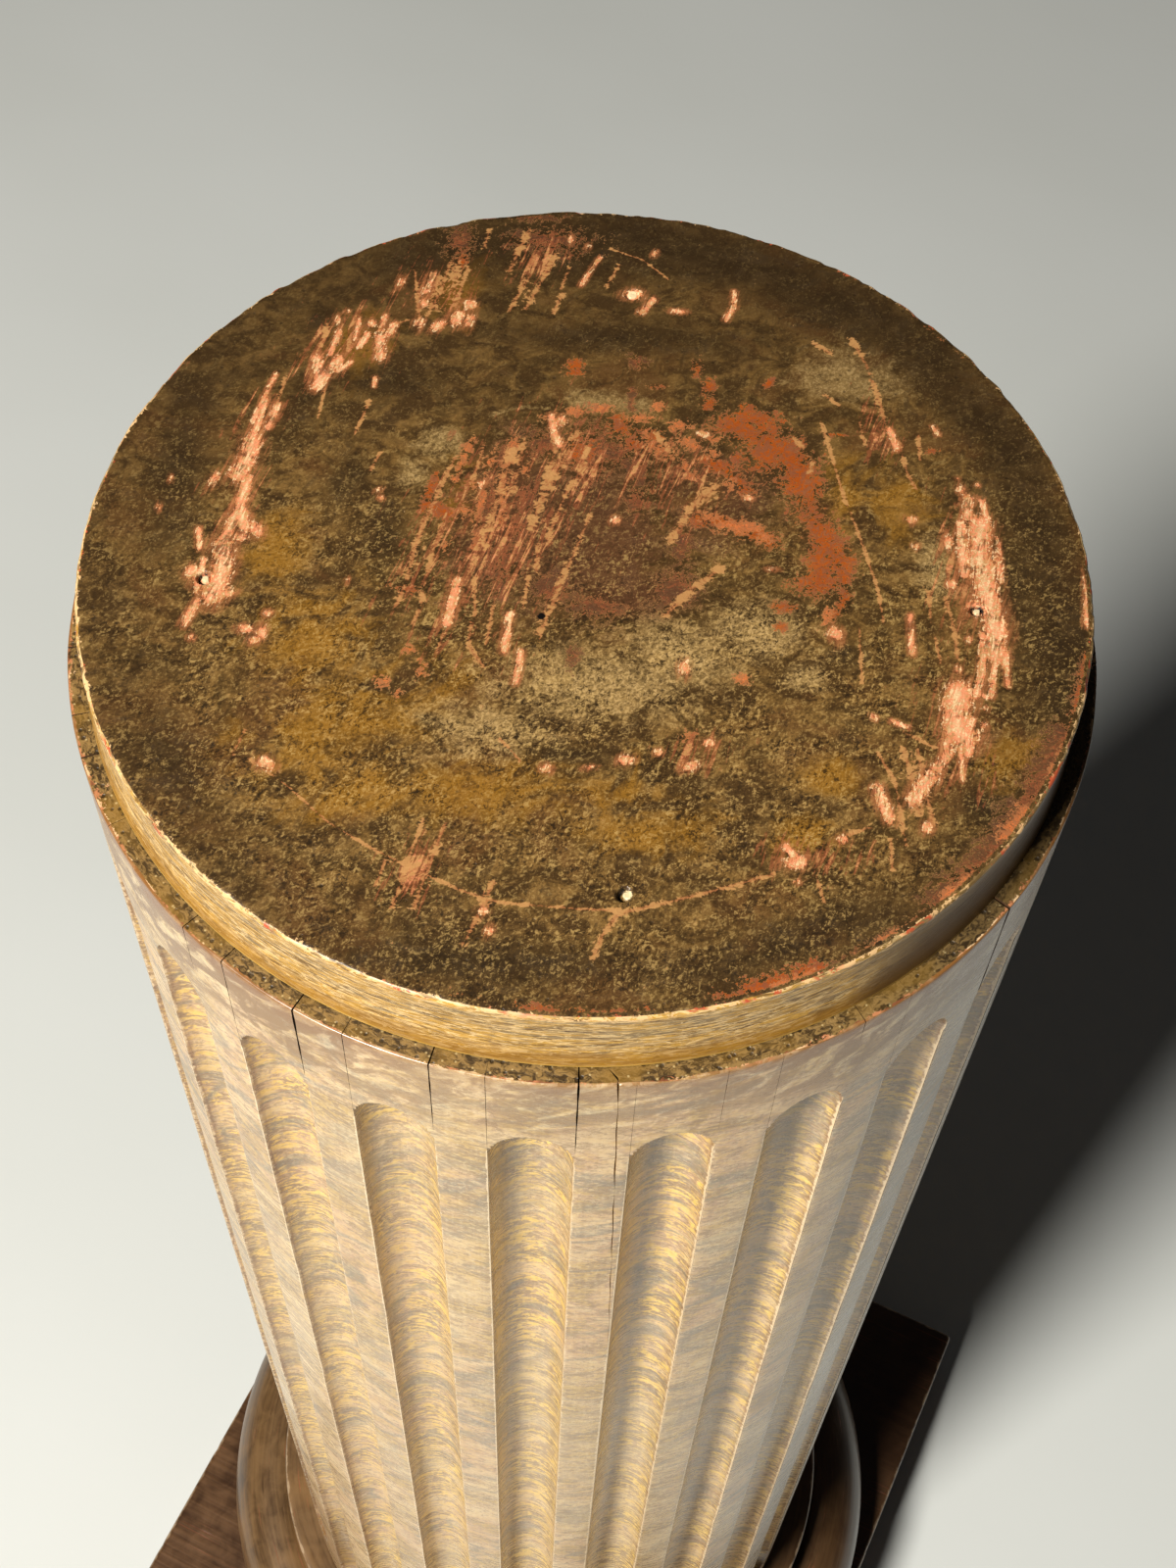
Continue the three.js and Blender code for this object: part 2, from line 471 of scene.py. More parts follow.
capSide = {
    "ground": tone(178, 143, 92),
    "yellow": tone(196, 148, 62),
    "ochre": tone(154, 106, 30),
    "grey": tone(126, 108, 80),
    "pale": tone(232, 196, 138),
    "brown": tone(84, 56, 24),
    "stainAndShade": tone(74, 48, 22),
    "film": tone(112, 88, 54),
    "lip": tone(220, 176, 84),
    "cream": tone(224, 180, 126),
    "brick": tone(184, 84, 52),
}


def bareRim(where):
    # the ground bared along the rim, on the cap's side and on its top: cream, and brick red in places
    kind = cloud(where, (22, 22, 22), 3, 0.6, 0.5, shift=0.27)
    return blend(level(kind, 0.5, 0.56), capSide["cream"], capSide["brick"])


def makeCapSidePaint():
    paint = Paint("capSidePaint", capSide, 0.4)
    where = field("wrap", "Vector")
    rise, around = field("rise"), field("around")
    broad = cloud(where, (60, 9, 60), 3, 0.6, 0.5, shift=0.9)
    streak = cloud(where, (13, 1.6, 13), 4, 0.68, 1.3)
    fine = cloud(where, (5, 0.9, 5), 3, 0.72, 0.9, shift=0.3)
    grey = cloud(where, (20, 2.2, 20), 3, 0.6, 1.0, shift=0.4)
    dark = cloud(where, (12, 1.5, 12), 3, 0.65, 0.8, shift=0.8)
    paint.start("ground", "yellow", level(streak, 0.44, 0.54))
    paint.lay("grey", level(grey, 0.5, 0.62, 0, 0.8))
    paint.lay("brown", level(dark, 0.53, 0.62, 0, 0.75))
    paint.lay("pale", level(fine, 0.51, 0.59, 0, 0.75))
    paint.lay("brown", level(fine, 0.49, 0.41, 0, 0.3))
    paint.lay("ochre", level(rise + streak * 0.5, 0.62, 0.34) * 0.7)
    # darker and browner to the right, the side away from the light, most low on the side: darker paint there,
    # with painted shade over it
    toRight = level(around, 0.05, 0.14) * level(around, 0.3, 0.18) + (broad - 0.5) * 0.6
    paint.lay("film", level(toRight, 0.15, 0.7, 0, 0.75))
    stainAndShade = level(toRight * 0.9 + rise * -1.1, -0.25, 0.3)
    paint.lay("stainAndShade", stainAndShade * level(toRight, 0.05, 0.4, 0, 0.8))
    # a bright yellow line along the foot of the side: a painted highlight on the small lip there
    paint.lay("lip", level(rise + grey * 0.05, 0.075, 0.05) * 0.55)
    rub = cloud(where, (3.2, 1.4, 3.2), 4, 0.7, 0.6, shift=0.5)
    paint.lay(bareRim(where), level(field("edge") + rub * 3, 2.24, 2.38))
    relief = streak + (dark + fine) * 0.5
    return paint.finish(level(streak, 0.3, 0.7, 0.32, 0.46), relief, 0.12)


# Top of the cap: brown glaze over red and salmon undercoats, worn through in bands

patina = {
    "deep": tone(42, 29, 14),
    "dark": tone(72, 50, 24),
    "olive": tone(124, 91, 45),
    "umber": tone(90, 56, 28),
    "gold": tone(150, 103, 32),
    "grey": tone(158, 126, 76),
    "sand": tone(196, 160, 106),
    "fleck": tone(184, 148, 88),
    "maroon": tone(88, 54, 34),
    "brick": tone(140, 76, 46),
    "red": tone(168, 74, 12),
    "ember": tone(204, 110, 58),
    "salmon": tone(226, 142, 98),
    "tan": tone(186, 134, 80),
    "rust": tone(164, 100, 60),
    "cream": tone(242, 202, 152),
    "hole": tone(14, 8, 5),
    "filler": tone(220, 198, 154),
}


def drawn(name, pattern, reach):
    # a drawn field, broken up by a pattern
    return field(name) + (pattern - 0.5) * reach


def makeTopPatina():
    paint = Paint("topPatina", patina)
    where = field("seen", "Vector")
    aside, away = part(where, 0), part(where, 1)
    broad = cloud(where, (40, 30, 40), 3, 0.55, 0.8)
    mottle = cloud(where, (9, 6.5, 8), 4, 0.62, 0.8, shift=0.23)
    grain = cloud(where, (2.8, 2.3, 2), 3, 0.68, 1.6, 33, 0.41)
    grit = cloud(where, (1.3, 1.15, 1), 2, 0.7, 0.9, 57, 0.53)
    hair = cloud(where, (1.5, 9, 1), 4, 0.7, 1.8, -12, 0.61)
    wisps = cloud(where, (8, 2.0, 1), 4, 0.7, 2.4, 24, 0.83)
    blotch = cloud(where, (17, 12, 14), 3, 0.58, 1.4, 40, 0.17)
    zone = level(cloud(where, (15, 12, 12), 2, 0.5, 0.8, shift=0.07), 0.42, 0.58, 0.55, 1)
    zone = zone * level(away, 0.1, -0.05, 0.45, 1.35)
    shade = mottle * 0.45 + (broad + blotch) * 0.275
    paint.start("dark", "olive", level(shade, 0.43, 0.56))
    paint.lay("umber", level(broad, 0.5, 0.64, 0, 0.6))
    paint.lay("deep", level(blotch, 0.52, 0.62, 0, 0.5))

    # each coat shows where its drawn field passes a limit
    tangle = mottle * 0.55 + grain * 0.45
    golden = blotch * 0.7 + tangle * 0.3
    paint.lay("gold", level(drawn("gold", golden, 6), -0.7, 1) * 0.75)
    paint.lay("maroon", level(drawn("maroon", tangle, 3), -0.2, 0.5) * 0.75)
    sandy = level(drawn("grey", tangle, 4), -0.5, 1) * 0.72
    paint.lay("grey", sandy)
    paint.lay("deep", level(drawn("dark", tangle, 2.6), -0.1, 0.9) * 0.7)
    threads = hair * 0.18 + wisps * 0.16 + (grain * 0.36 + grit * 0.3)
    paint.lay("fleck", level(threads, 0.51, 0.58, 0, 0.5) * zone)
    paint.lay("deep", level(threads, 0.5, 0.42, 0, 0.7) * zone)
    paint.lay("sand", sandy * level(grit, 0.48, 0.62, 0, 0.8))
    fromAxis = give("ShaderNodeVectorMath", {0: where}, "Value", operation="LENGTH")
    paint.lay("deep", level(fromAxis + blotch * 0.03, 0.136, 0.152, 0, 0.22))
    pit = dots(where, 4, 0.17)
    paint.lay("deep", pit * 0.5)
    # darker towards the back: partly a darker glaze, partly painted shade for how the light falls across the
    # top
    paint.lay("deep", level(away, -0.02, 0.15, 0, 0.5))
    paint.lay("deep", level(aside, -0.06, -0.14, 0, 0.08))

    # red undercoat, brighter to the right, with a pale fringe where the glaze has broken away
    ragged = mottle * 0.34 + (grain + grit) * 0.33
    redTone = paint.mix(level(grain, 0.42, 0.58), "red", "brick")
    brickTone = paint.mix(level(tangle, 0.44, 0.56), "brick", "maroon")
    emberTone = paint.mix(level(grit, 0.44, 0.56), "ember", "rust")
    for name, inner, low in (("brick", brickTone, 0.1), ("red", redTone, 0.1), ("ember", emberTone, 0.2)):
        mark = drawn(name, ragged, 11)
        shown = paint.mix(level(mark, low + 0.06, low + 0.22), "tan", inner)
        paint.lay(shown, level(mark, low, low + 0.12) * 0.82)

    # thin streaks side by side, salmon within a red edge, where the glaze is scraped
    streak = cloud(where, (2.0, 24, 1), 3, 0.68, 1.0, -17, 0.37)
    scraped = drawn("hatch", streak * 0.66 + (grain + mottle) * 0.17, 8)
    scrapedTone = paint.mix(level(tangle, 0.44, 0.54), "rust", "tan")
    scrapedTone = paint.mix(level(grit, 0.5, 0.62, 0, 0.7), scrapedTone, "salmon")
    paint.lay("brick", level(scraped, 0.62, 0.9, 0, 0.6))
    paint.lay(scrapedTone, level(scraped, 1.05, 1.35, 0, 0.85))

    # long thin scratches, then salmon and cream ground bared in streaks, with dust round it
    side = calc("MAXIMUM", abs(field("lineSide")), field("lineNear"))
    thin = 1 - side + (grain * 0.5 + mottle * 0.5 - 0.49) * 10
    paint.lay(paint.mix(level(tangle, 0.46, 0.56), "rust", "tan"), level(thin, 0.1, 0.8, 0, 0.85))
    streaky = hair * 0.35 + mottle * 0.2 + (grain * 0.25 + grit * 0.2)
    bared = drawn("wear", streaky, 4.4) + 0.1
    paint.lay("rust", level(bared, -1, 0.1, 0, 0.8) * level(streak, 0.42, 0.56, 0.15, 0.8))
    wornTone = paint.mix(level(grain + grit, 0.96, 1.04), "salmon", "tan")
    wornTone = paint.mix(level(bared, 0.6, 0.2, 0, 0.7), wornTone, "ember")
    wornTone = paint.mix(level(bared, 0.7, 1.2, 0, 0.5), wornTone, "cream")
    wornTone = paint.mix(level(hair + grit, 1.06, 1.16, 0, 0.8), wornTone, "cream")
    wornTone = paint.mix(level(hair + mottle, 0.92, 0.84, 0, 0.7), wornTone, "umber")
    worn = level(bared, 0.05, 0.35)
    paint.lay(wornTone, worn * 0.92)

    # nail holes, half closed with pale filler, and the worn rim
    paint.lay("filler", level(drawn("filler", grain, 0.8), 0.1, 0.3))
    paint.lay("hole", level(drawn("hole", grain, 0.5), 0.1, 0.3))
    rub = cloud(where, (2.6, 2.6, 2.6), 4, 0.7, 0.5, shift=0.5)
    paint.lay(bareRim(where), level(field("edge") + rub * 3, 2.24, 2.38))
    relief = threads * 1.2 + worn * -0.5 + (mottle * 0.4 + pit * -0.3)
    return paint.finish(level(mottle + worn * 0.4, 0.35, 0.95, 0.36, 0.6), relief, 0.25)


# Dark varnish of the base and the plinth, with painted shade on their right

varnish = {
    "dark": tone(58, 36, 20),
    "brown": tone(104, 71, 41),
    "warm": tone(126, 87, 46),
    "film": tone(146, 117, 73),
    "scratch": tone(150, 84, 56),
    "rubbed": tone(176, 148, 116),
}


def makeDarkVarnish(name, grainSize, coordinate, film, toSide):
    # toSide points to the right, as the piece is seen from the front, in the material's coordinates
    paint = Paint(name, varnish, 0.5, 0.25, 0.13)
    where = objectPlace() if coordinate == "Object" else field(coordinate, "Vector")
    broad = cloud(where, (60, 60, 60), 3, 0.55, 0.5)
    grain = cloud(where, grainSize, 4, 0.6, 0.3)
    mottle = cloud(where, (14, 14, 14), 3, 0.6, 0.8, shift=0.17)
    shade = broad * 0.35 + (grain + mottle) * 0.325
    paint.start("dark", "brown", level(shade, 0.34, 0.63))
    paint.lay("warm", level(broad, 0.5, 0.7, 0, 0.6))
    paint.lay("film", level(shade, 0.34, 0.6, 0.3 * film, film))
    # painted shade: darker to the right, where the column's shadow falls on the base and the plinth
    aside = give("ShaderNodeVectorMath", {0: where, 1: toSide}, "Value", operation="DOT_PRODUCT")
    paint.lay("dark", level(aside, 0.06, 0.17, 0, 0.65))
    scratchSize = (grainSize[0] * 1.6, grainSize[1] * 0.5, grainSize[2])
    scratch = cloud(where, scratchSize, 3, 0.7, 0.15, shift=0.3)
    scratched = level(scratch, 0.6, 0.68) * level(broad, 0.42, 0.62)
    paint.lay("scratch", scratched * 0.75)
    rub = cloud(where, (8, 8, 8), 4, 0.6, 0.4, shift=0.6)
    paint.lay("rubbed", level(field("edge") + rub * 0.9, 1.1, 1.35) * 0.8)
    return paint.finish(level(shade, 0.3, 0.7, 0.3, 0.48), grain + scratched * -0.4, 0.15)


marblePaint = makeMarblePaint()
woodInGaps = makeGapWood()
ledgeGlaze = makeLedgeGlaze()
capSidePaint = makeCapSidePaint()
topPatina = makeTopPatina()
rightX, rightY = cos(viewTurn), sin(viewTurn)
turnedVarnish = makeDarkVarnish("turnedVarnish", (70, 2.2, 40), "wrap", 0.28, (rightX, 0, rightY))
boardVarnish = makeDarkVarnish("boardVarnish", (120, 3.0, 60), "Object", 0.0, (rightX, rightY, 0))
print("materials made")


# Joints between the strips, and where they have opened

joints = {
    "closedGap": 0.04,
    "arrisReach": 0.7,  # how near the arris the paint rounds over
    "nicks": 9,  # small dents along each arris
    "nickDepth": 0.35,
    "nickLength": 5,
    "unevenGap": 0.03,
    # angle seen from the front in degrees, width at the top, length down the shaft
    "open": [
        (-82.9, 0.5, 30), (-73.7, 0.6, 26), (-67.9, 0.5, 34), (-58.7, 0.4, 18),
        (-43.7, 0.35, 24), (-37.9, 0.35, 38), (-28.7, 1.0, 42), (-22.9, 0.16, 30),
        (-13.7, 0.6, 44), (-7.9, 0.1, 40), (1.3, 0.7, 46), (16.3, 0.2, 40), (31.3, 0.35, 12),
        (52.1, 1.2, 170), (97.1, 0.6, 50), (132.1, 0.4, 30), (171.3, 0.7, 60), (-142.9, 0.5, 40),
    ],
}
strip = {
    "fluteDepth": 10,
    "fluteStop": 36.5,
    "fluteEndLength": 19,
    "aroundEnd": (3, 24),  # the close rows at a flute's end start and stop this far from where it ends
    "crackReach": 190,
    "stretchRows": (8, 34, 34, 26, 44, 16),  # rows in each stretch of the shaft, from its foot up
    "inward": (0.02, 0.08, 0.25, 0.6, 1.0),  # rows in along a joint, as shares of its depth
    "arrisWorn": (38, 56),  # from the ends, where the wear of the arrises begins and where it is full
    "faceColumns": 33,
    "filletColumns": 15,
    "topEase": 0.55,
    "ledgeUneven": 0.12,
    "surfaceWave": 0.07,
}
# a split in one fillet, off its joints: angles of the strip's middle and of the split's top and low end
split = {"strip": 4.2, "top": 5.2, "low": 6.5, "length": 172, "reach": 214, "width": 0.75, "depth": 1.6}

halfFlute = nodeHalfAngle(fluteNames[0])
halfFillet = nodeHalfAngle(filletNames[0])
halfGap = (pi / 24 - halfFlute - halfFillet) / 2
halfWidth = shaftRadius * sin(halfFlute + halfGap)
rodRadius = (halfWidth ** 2 + strip["fluteDepth"] ** 2) / (2 * strip["fluteDepth"])
rodCentre = sqrt(shaftRadius ** 2 - halfWidth ** 2) - strip["fluteDepth"] + rodRadius
lowBall = shaftLow + strip["fluteStop"] + strip["fluteEndLength"]
highBall = shaftTop - strip["fluteStop"] - strip["fluteEndLength"]


def seenAngle(angle):
    # degrees from straight in front, from -180 to 180
    degrees = np.degrees(angle - viewTurn) + 90
    return (degrees + 180) % 360 - 180


def troughFace(y, z):
    # the hollow left by a rod with long round ends: x = rodCentre - sqrt(rodRadius^2 - y^2 - past^2),
    # where past is the way into the end, shortened to the shape of a ball
    past = np.maximum(0, np.maximum(lowBall - z, z - highBall)) * halfWidth / strip["fluteEndLength"]
    inside = np.maximum(rodRadius ** 2 - y ** 2 - past ** 2, 0)
    return rodCentre - np.sqrt(inside)


def arrisDrop(z):
    # how far the rounded arris lies under the round face at the joint
    face = sqrt(shaftRadius ** 2 - halfWidth ** 2)
    hollow = troughFace(np.full_like(z, halfWidth), z)
    return face - softLower(np.full_like(z, face), hollow, joints["arrisReach"])


def jointWear(angle, z):
    # small dents along the joint at this angle, the same for both strips that meet there
    dice = np.random.default_rng(int(round(seenAngle(angle) * 10)) + 5000)
    middles = dice.uniform(shaftLow, shaftTop, joints["nicks"])
    lengths = dice.uniform(0.4, 1.4, joints["nicks"]) * joints["nickLength"]
    depths = dice.uniform(0.2, 1.0, joints["nicks"]) ** 2 * joints["nickDepth"]
    bells = fade(z[:, None] - middles, lengths) * depths
    return bells.sum(-1) + joints["unevenGap"] * (1 + np.sin(z * 0.11 + middles[0]))


def jointGap(angle, z):
    # the opening at the joint: widest at the ledge, closing down the shaft, a little unsteady
    seen = float(seenAngle(angle))
    opening = np.full_like(z, joints["closedGap"])
    for place, width, length in joints["open"]:
        if abs(place - seen) < 1.5:
            down = (shaftTop - z) / length
            unsteady = 0.8 + 0.2 * np.sin(z * 0.37 + place)
            opening += width * np.sqrt(np.clip(1 - down, 0, 1)) * unsteady
    return opening


def stripHeights():
    # rows up the shaft: close together where the flutes end and along the cracks, wide between
    before, after = strip["fluteStop"] - strip["aroundEnd"][0], strip["fluteStop"] + strip["aroundEnd"][1]
    crackEnd = shaftTop - strip["crackReach"]
    rows = strip["stretchRows"]
    low = shaftLow + np.concatenate([
        np.linspace(0, before, rows[0], endpoint=False),
        np.linspace(before, after, rows[1], endpoint=False),
    ])
    middle = np.linspace(shaftLow + after, crackEnd, rows[2], endpoint=False)
    upper = np.linspace(crackEnd, shaftTop - after, rows[3], endpoint=False)
    high = shaftTop - np.concatenate([
        np.linspace(after, before, rows[4], endpoint=False),
        np.linspace(before, strip["topEase"], rows[5]),
    ])
    return np.concatenate([low, middle, upper, high])


def makeStrip(name, half, hollow, columns):
    # Each row goes round one strip: its face from side to side, in along one joint, across the back and
    # out again. Face: x = sqrt(R^2 - y^2) with y = R sin(angle), or the trough where that is lower.
    middle = nodeMiddle(name)
    z = stripHeights()
    ease = np.array([0.55, 0.85, 1.0]) * strip["topEase"]
    z = np.concatenate([z, shaftTop - strip["topEase"] + ease, [shaftTop] * 3])
    easing = np.zeros_like(z)
    easing[-6:-3] = strip["topEase"] * (1 - np.sqrt(1 - (ease / strip["topEase"]) ** 2))
    easing[-3:] = easing[-4]
    across = np.linspace(-1, 1, columns)
    across = across * (1 - 0.12 * (1 - across ** 2))
    lowJoint, highJoint = middle - half - halfGap, middle + half + halfGap
    lowEdge = half + halfGap - jointGap(lowJoint, z) / 2 / shaftRadius
    highEdge = half + halfGap - jointGap(highJoint, z) / 2 / shaftRadius
    angle = np.where(across < 0, across * lowEdge[:, None], across * highEdge[:, None])
    crack = np.zeros_like(angle)
    if abs(seenAngle(middle) - split["strip"]) < 1:
        angle, crack = openSplit(angle, z, middle)
    y = shaftRadius * np.sin(angle)
    face = np.sqrt(shaftRadius ** 2 - y ** 2)
    faceHeight = np.repeat(z[:, None], columns, 1)
    deep = np.zeros_like(face)
    if hollow:
        lowered = softLower(face, troughFace(y, faceHeight), joints["arrisReach"])
        deep = (face - lowered) / strip["fluteDepth"]
        face = lowered
    toLow = shaftRadius * (angle + lowEdge[:, None])
    toHigh = shaftRadius * (highEdge[:, None] - angle)
    drop = arrisDrop(z)
    begin, full = strip["arrisWorn"]
    along = smoothStep(z, shaftLow + begin, shaftLow + full)
    along = along * smoothStep(z, shaftTop - begin, shaftTop - full)
    for joint, distance in ((lowJoint, toLow), (highJoint, toHigh)):
        dents = jointWear(joint, z) * (0.15 + 0.85 * along)
        face = face - dents[:, None] * fade(distance, 0.9)
        if not hollow:
            face = face - drop[:, None] * fade(distance, 0.55)
    around = shaftRadius * (middle + angle)
    face = face + strip["surfaceWave"] * unevenness(around, faceHeight * 0.35, 14, 31)
    topWear = 1 + 0.9 * unevenness(around, faceHeight * 0, 9, 32)
    face = face - easing[:, None] * np.clip(topWear, 0.4, 2.2) - crack
    outer = np.stack([face, y], -1)
    innerY = stripInner * tan(half + halfGap) - joints["closedGap"] / 2
    inward = np.array(strip["inward"])[:, None]
    sideHigh = outer[:, -1:, :] * (1 - inward) + np.array([stripInner, innerY]) * inward
    sideLow = outer[:, :1, :] * (1 - inward[::-1]) + np.array([stripInner, -innerY]) * inward[::-1]
    loop = np.concatenate([outer, sideHigh, sideLow], 1)
    # the last two rows draw in over the flat end, so that it stays flat up to the worn edge
    centre = loop[-1].mean(0)
    loop[-2] = loop[-2] * 0.93 + centre * 0.07
    loop[-1] = loop[-1] * 0.75 + centre * 0.25
    count = loop.shape[1]
    high = np.repeat(z[:, None], count, 1)
    dice = np.random.default_rng(int(middle * 1000) + 9000)
    high[-6:] += dice.uniform(-1, 0.1) * strip["ledgeUneven"]
    rings = np.stack([*turned(loop[..., 0], loop[..., 1], middle), high], -1)

    seen = radians(float(seenAngle(middle)))
    turn = np.arctan2(loop[..., 1], loop[..., 0])
    reach = np.hypot(loop[..., 0], loop[..., 1])
    wrap = np.stack([shaftRadius * (seen + turn), high, reach - shaftRadius], -1) * mm
    fromTop = fade(shaftTop - high, 1.1)
    nearTop = fromTop * smoothStep(reach, shaftRadius - 2.0, shaftRadius - 0.5)
    nearJoint = np.zeros_like(high)
    # pale rubbed paint along the arrises, stronger along the right arris as seen at the front: wear, and a
    # painted highlight there too
    arris = np.maximum(fade(toLow, 0.8) * 0.7, fade(toHigh, 0.8) * 0.92)
    nearJoint[:, :columns] = arris * along[:, None]
    flute = np.zeros_like(high)
    flute[:, :columns] = deep
    kinds = np.ones((len(z) - 1, count), int)
    kinds[:, :columns - 1] = 0
    kinds[-3:, :] = 2
    values = {"wrap": wrap, "edge": np.maximum(nearTop, nearJoint), "flute": flute, "ragged": fromTop}
    materials = [marblePaint, woodInGaps, ledgeGlaze]
    return closedMesh(name + "_paint", rings, materials, kinds, (1, 2), values)


def openSplit(angle, z, middle):
    # the columns next to the split's path are drawn to its two lips and its floor
    down = np.clip((shaftTop - z) / split["length"], 0, 1.3)
    path = radians(split["top"]) + radians(split["low"] - split["top"]) * down
    path = path - radians(float(seenAngle(middle))) + 0.0006 * np.sin(z * 0.21)
    closing = np.clip(1 - (shaftTop - z) / split["reach"], 0, 1)
    broken = 0.55 + 0.45 * np.sin(z * 0.16 + 1.2) * np.sin(z * 0.047)
    width = split["width"] * np.sqrt(closing) * broken
    half = width / 2 / shaftRadius
    columns = angle.shape[1]
    floor = columns // 2 + 2
    bent = angle.copy()
    lowShare = np.linspace(0, 1, floor)
    bent[:, :floor] = angle[:, :1] + lowShare * (path - half - angle[:, 0])[:, None]
    highShare = np.linspace(0, 1, columns - floor - 1)
    bent[:, floor + 1:] = (path + half)[:, None] + highShare * (angle[:, -1] - path - half)[:, None]
    bent[:, floor] = path
    crack = np.zeros_like(angle)
    crack[:, floor] = split["depth"] * width / split["width"]
    return bent, crack


for name in fluteNames + filletNames:
    hollow = name in fluteNames
    half, columns = (halfFlute, "faceColumns") if hollow else (halfFillet, "filletColumns")
    addPiece("painted_" + name, makeStrip(name, half, hollow, strip[columns]), "marble_paint", name)
print("strips made:", len(fluteNames) + len(filletNames))


# Cap: a turned disc, hollow round its side, with its worn top

cap = {
    "columns": 600,
    "nailColumns": 20,
    "nailRows": 18,
    "topRows": 130,
    "sideRows": 14,
    "wornFrom": 8,  # the rows of the side that the rim's wear reaches, from this one up
    "lip": 1.0,
    "hollow": 1.0,
    "rimEase": 1.2,
    "rimWear": 1.1,
    "footRadius": 151,
    "radius": 150,
    "nailRing": 112.8,
    "nailReach": 4.5,  # the close rows go this far to either side of the ring of nails
    "holeRadius": 2.6,
    "holeDepth": 2.2,
    "tinyHole": (-12.7, -20, 1.5),  # its place and radius
    "dish": 0.25,
    "wearDepth": 0.18,
}
# nail holes seen from the front: place, how much filler is left in it, and the side that it fills
nails = [
    {"at": (13.5, -112), "filler": 0.62, "side": (0.8, 0.1)},
    {"at": (-112, -11), "filler": 0.55, "side": (0.2, 0.2)},
    {"at": (115, -11), "filler": 0.5, "side": (0, 0)},
    {"at": (11, 112), "filler": 0.75, "side": (0, 0.3)},
]
